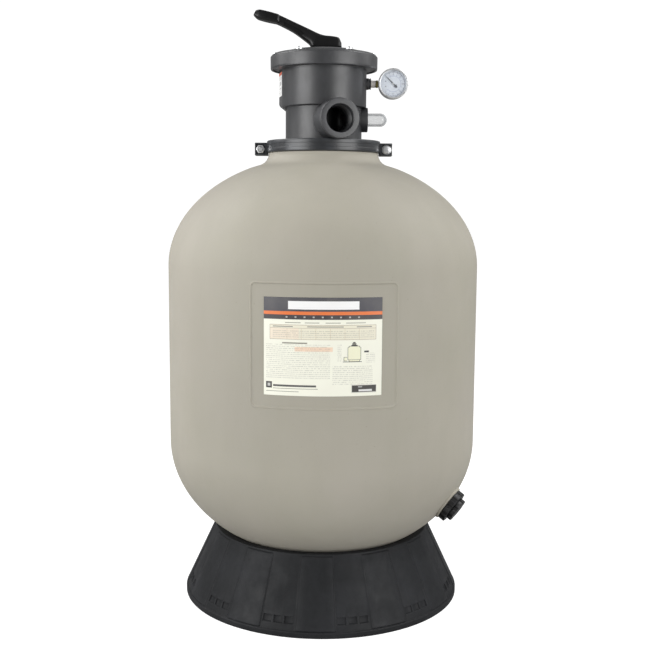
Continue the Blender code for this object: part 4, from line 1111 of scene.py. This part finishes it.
def sight_glass():
    frame = along((1, 0, 0), (0, 0, SIGHT_Z))
    radius, wall, tip = 10.9, 1.9, 105.6
    centre = tip - radius
    outline = [(radius, 62.1), (radius, 74.2), (radius, 75.0)]
    outline += [(radius * math.cos(a), centre + radius * math.sin(a))
        for a in np.radians(np.linspace(0, 89, 16))]
    outline += [(0, tip), (0, tip - wall)]
    inner = radius - wall
    outline += [(inner * math.cos(a), centre + inner * math.sin(a))
        for a in np.radians(np.linspace(89, 0, 16))]
    outline += [(inner, 62.1)]
    turns = math.tau * np.arange(SMALL) / SMALL
    rows = [[(r * math.cos(t), r * math.sin(t), h) for t in turns] for r, h in outline]
    piece("sight_glass_fine", placed(sealed(rows), frame), "sight_glass")


def sealed(rows):
    """Closed wall through rings, two of which are tips on the axis."""
    made = bmesh.new()
    rings = []
    for row in rows:
        if np.ptp(np.array(row), axis=0).max() < 1e-9:
            rings.append([made.verts.new(Vector(row[0]) * MM)])
        else:
            rings.append([made.verts.new(Vector(point) * MM) for point in row])
    for number in range(len(rings)):
        low, high = rings[number], rings[(number + 1) % len(rings)]
        count = max(len(low), len(high))
        if count == 1:
            continue
        for side in range(count):
            step = (side + 1) % count
            corners = [low[side % len(low)], low[step % len(low)], high[step % len(high)],
                high[side % len(high)]]
            made.faces.new(list(dict.fromkeys(corners)))
    bmesh.ops.recalc_face_normals(made, faces=made.faces)
    return made


def lobes(radius, depth, height, count, per_lobe=12):
    """Ring with rounded grip lobes and narrower valleys between them."""
    turns = np.arange(count * per_lobe) / (count * per_lobe)
    wave = np.cos(math.tau * turns * count)
    reach = radius - depth * smooth_step((0.15 - wave) / 0.7)
    return np.stack([reach * np.cos(math.tau * turns), reach * np.sin(math.tau * turns),
        np.full(len(turns), height)], -1)


def ring_of(radius, height, sides):
    turns = math.tau * np.arange(sides) / sides
    return np.stack([radius * np.cos(turns), radius * np.sin(turns), np.full(sides, height)], -1)


def drain():
    frame = drain_frame()
    body = [(13.5, -19), (27, -19), (27, -15.1), (19.9, -15.1), (19.9, 13.4, 0.4), (17, 13.4),
        (17, 16.8, 0.5)]
    piece("drain_body_fine", placed(lathe(rounded(body + [(13.5, 16.8)]), MEDIUM), frame), "drain_body")
    sides = 12 * 12
    rows = [ring_of(20.3, 2.4, sides), ring_of(25.5, 2.4, sides), lobes(27.3, 1.6, 2.4, 12),
        lobes(27.8, 1.6, 3.0, 12)]
    rows += [lobes(27.8, 1.6, 12.4, 12), lobes(27.2, 1.6, 13.2, 12), ring_of(25.2, 13.3, sides),
        ring_of(20.3, 13.3, sides)]
    piece("drain_nut_fine", placed(skin(rows, wrap_rows=True), frame), "drain_ring_nut")
    sides = 8 * 12
    rows = [ring_of(0, 18.9, sides), ring_of(17.5, 18.9, sides), ring_of(17.5, 13.9, sides)]
    rows += [lobes(19.9, 1.6, 13.9, 8), lobes(20.4, 1.7, 14.4, 8), lobes(20.4, 1.7, 19.9, 8),
        lobes(20.0, 1.6, 20.7, 8)]
    rows += [lobes(19.0, 1.5, 21.2, 8), lobes(17.5, 1.2, 21.4, 8), ring_of(9, 21.4, sides),
        ring_of(8.4, 20.9, sides)]
    rows += [ring_of(0, 20.8, sides)]
    piece("drain_cap_fine", placed(skin(rows), frame), "drain_cap")


def spring():
    """Wound wire in even turns, on a mesh of its own."""
    turns, wire, radius, steps = 4, 2.0, 20.5, 36
    low, high = 862.3 + wire, 905.2 - wire
    rings = []
    for step in range(turns * steps + 1):
        share = step / (turns * steps)
        turn = math.tau * turns * share
        out = Vector((math.cos(turn), math.sin(turn), 0))
        centre = out * radius + Vector((0, 0, low + (high - low) * share))
        corners = math.tau * np.arange(12) / 12
        rings.append([centre + out * wire * math.cos(a) + Vector((0, 0, wire * math.sin(a)))
            for a in corners])
    made = piece("valve_spring_fine", skin(rings), "valve_spring")
    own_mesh(made)


def finish_inner(nodes):
    """Carried-over CAD nodes, all of them inside, get the finished materials."""
    for name, node in nodes.items():
        node.data.materials.clear()
        node.data.materials.append(LOOKS[SLOTS[name]])
        node["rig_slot"] = SLOTS[name]


# Stage.


# Soft boxes round the filter: azimuth, elevation, distance from AIM, width, height, watts.
SOFT_BOXES = {
    "left_front": (-53, 4, 2.7, 2.0, 1.5, 46),
    "right_front": (48, 4, 2.7, 1.8, 1.4, 36),
    "left_side": (-98, 46, 2.0, 1.3, 1.2, 20),
    "right_side": (94, 46, 2.0, 1.3, 1.2, 18),
    "left_rim": (-102, 18, 2.6, 1.0, 0.9, 8),
    "right_rim": (102, 18, 2.6, 0.9, 0.9, 5),
}
AIM = Vector((0, 0, 0.75))


def soft_box(name, azimuth, elevation, distance, width, height, watts):
    data = bpy.data.lights.new(name, "AREA")
    data.shape, data.size, data.size_y, data.energy = "RECTANGLE", width, height, watts
    lamp = bpy.data.objects.new(name, data)
    bpy.context.collection.objects.link(lamp)
    level = math.radians(elevation)
    away = heading(azimuth) * math.cos(level) + Vector((0, 0, math.sin(level)))
    lamp.location = AIM + away * distance
    lamp.rotation_mode = "QUATERNION"
    lamp.rotation_quaternion = (-away).to_track_quat("-Z", "Y")


def brightness(tree, dim, bright):
    """Bright where the camera sees it, straight or through clear plastic, and dim as a source of light."""
    seen = add(tree, "LightPath").outputs
    either = add(tree, "Math", {0: seen["Is Camera Ray"], 1: seen["Is Transmission Ray"]},
        operation="MAXIMUM").outputs[0]
    return spread(tree, either, dim, bright, 0.0, 1.0)


def stage():
    """Pale floor, white background, and a dim surround lit by soft boxes."""
    ground = bmesh.new()
    corners = ((-FLOOR_HALF, -FLOOR_HALF), (FLOOR_HALF, -FLOOR_HALF), (FLOOR_HALF, FLOOR_HALF),
        (-FLOOR_HALF, FLOOR_HALF))
    ground.faces.new([ground.verts.new((x, y, FLOOR_Z)) for x, y in corners])
    mesh = bpy.data.meshes.new("floor")
    ground.to_mesh(mesh)
    ground.free()
    floor_look, tree, shader = blank("floor_look")
    shader.inputs["Base Color"].default_value = (0.4, 0.4, 0.4, 1)
    shader.inputs["Roughness"].default_value = 0.7
    shader.inputs["Specular IOR Level"].default_value = 0.1
    shader.inputs["Emission Color"].default_value = (1, 1, 1, 1)
    tree.links.new(brightness(tree, 0.06, 0.92), shader.inputs["Emission Strength"])
    mesh.materials.append(floor_look)
    floor = bpy.data.objects.new("floor", mesh)
    bpy.context.collection.objects.link(floor)
    world = bpy.data.worlds.new("studio")
    bpy.context.scene.world = world
    world.use_nodes = True
    tree = world.node_tree
    tree.links.new(brightness(tree, 0.3, 1.06), tree.nodes["Background"].inputs["Strength"])
    tree.nodes["Background"].inputs["Color"].default_value = (1, 1, 1, 1)
    for name, row in SOFT_BOXES.items():
        soft_box(name, *row)
    bpy.context.scene.view_settings.view_transform = "Standard"


def camera():
    data = bpy.data.cameras.new("camera")
    data.sensor_width = 36
    data.lens = LENS_MM
    data.shift_x = SHIFT
    made = bpy.data.objects.new("camera", data)
    bpy.context.collection.objects.link(made)
    turn = Matrix.Rotation(math.pi / 2 - CAMERA_DOWN, 4, "X") @ Matrix.Rotation(CAMERA_ROLL, 4, "Z")
    made.matrix_world = Matrix.Translation(CAMERA_AT) @ turn
    bpy.context.scene.camera = made


def main():
    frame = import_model()
    LOOKS.update(all_looks())
    SLOTS.update({row["node"]: row["material_slot"] for row in frame["record"]["subparts"]})
    for body, names in frame["record"]["behaviour"]["bodies"].items():
        BODIES.update({name: body for name in names})
    tank()
    stand()
    tank_label()
    valve_label()
    clamp()
    valve_body()
    numbers = valve_cover()
    piece("cover_numbers", together(*numbers), body=BODIES["valve_cover"], slot="valve_plastic")
    cover_screws()
    handle()
    gauge()
    sight_glass()
    drain()
    spring()
    finish_inner({name: node for name, node in frame["nodes"].items() if not node.hide_render})
    stage()
    camera()


main()
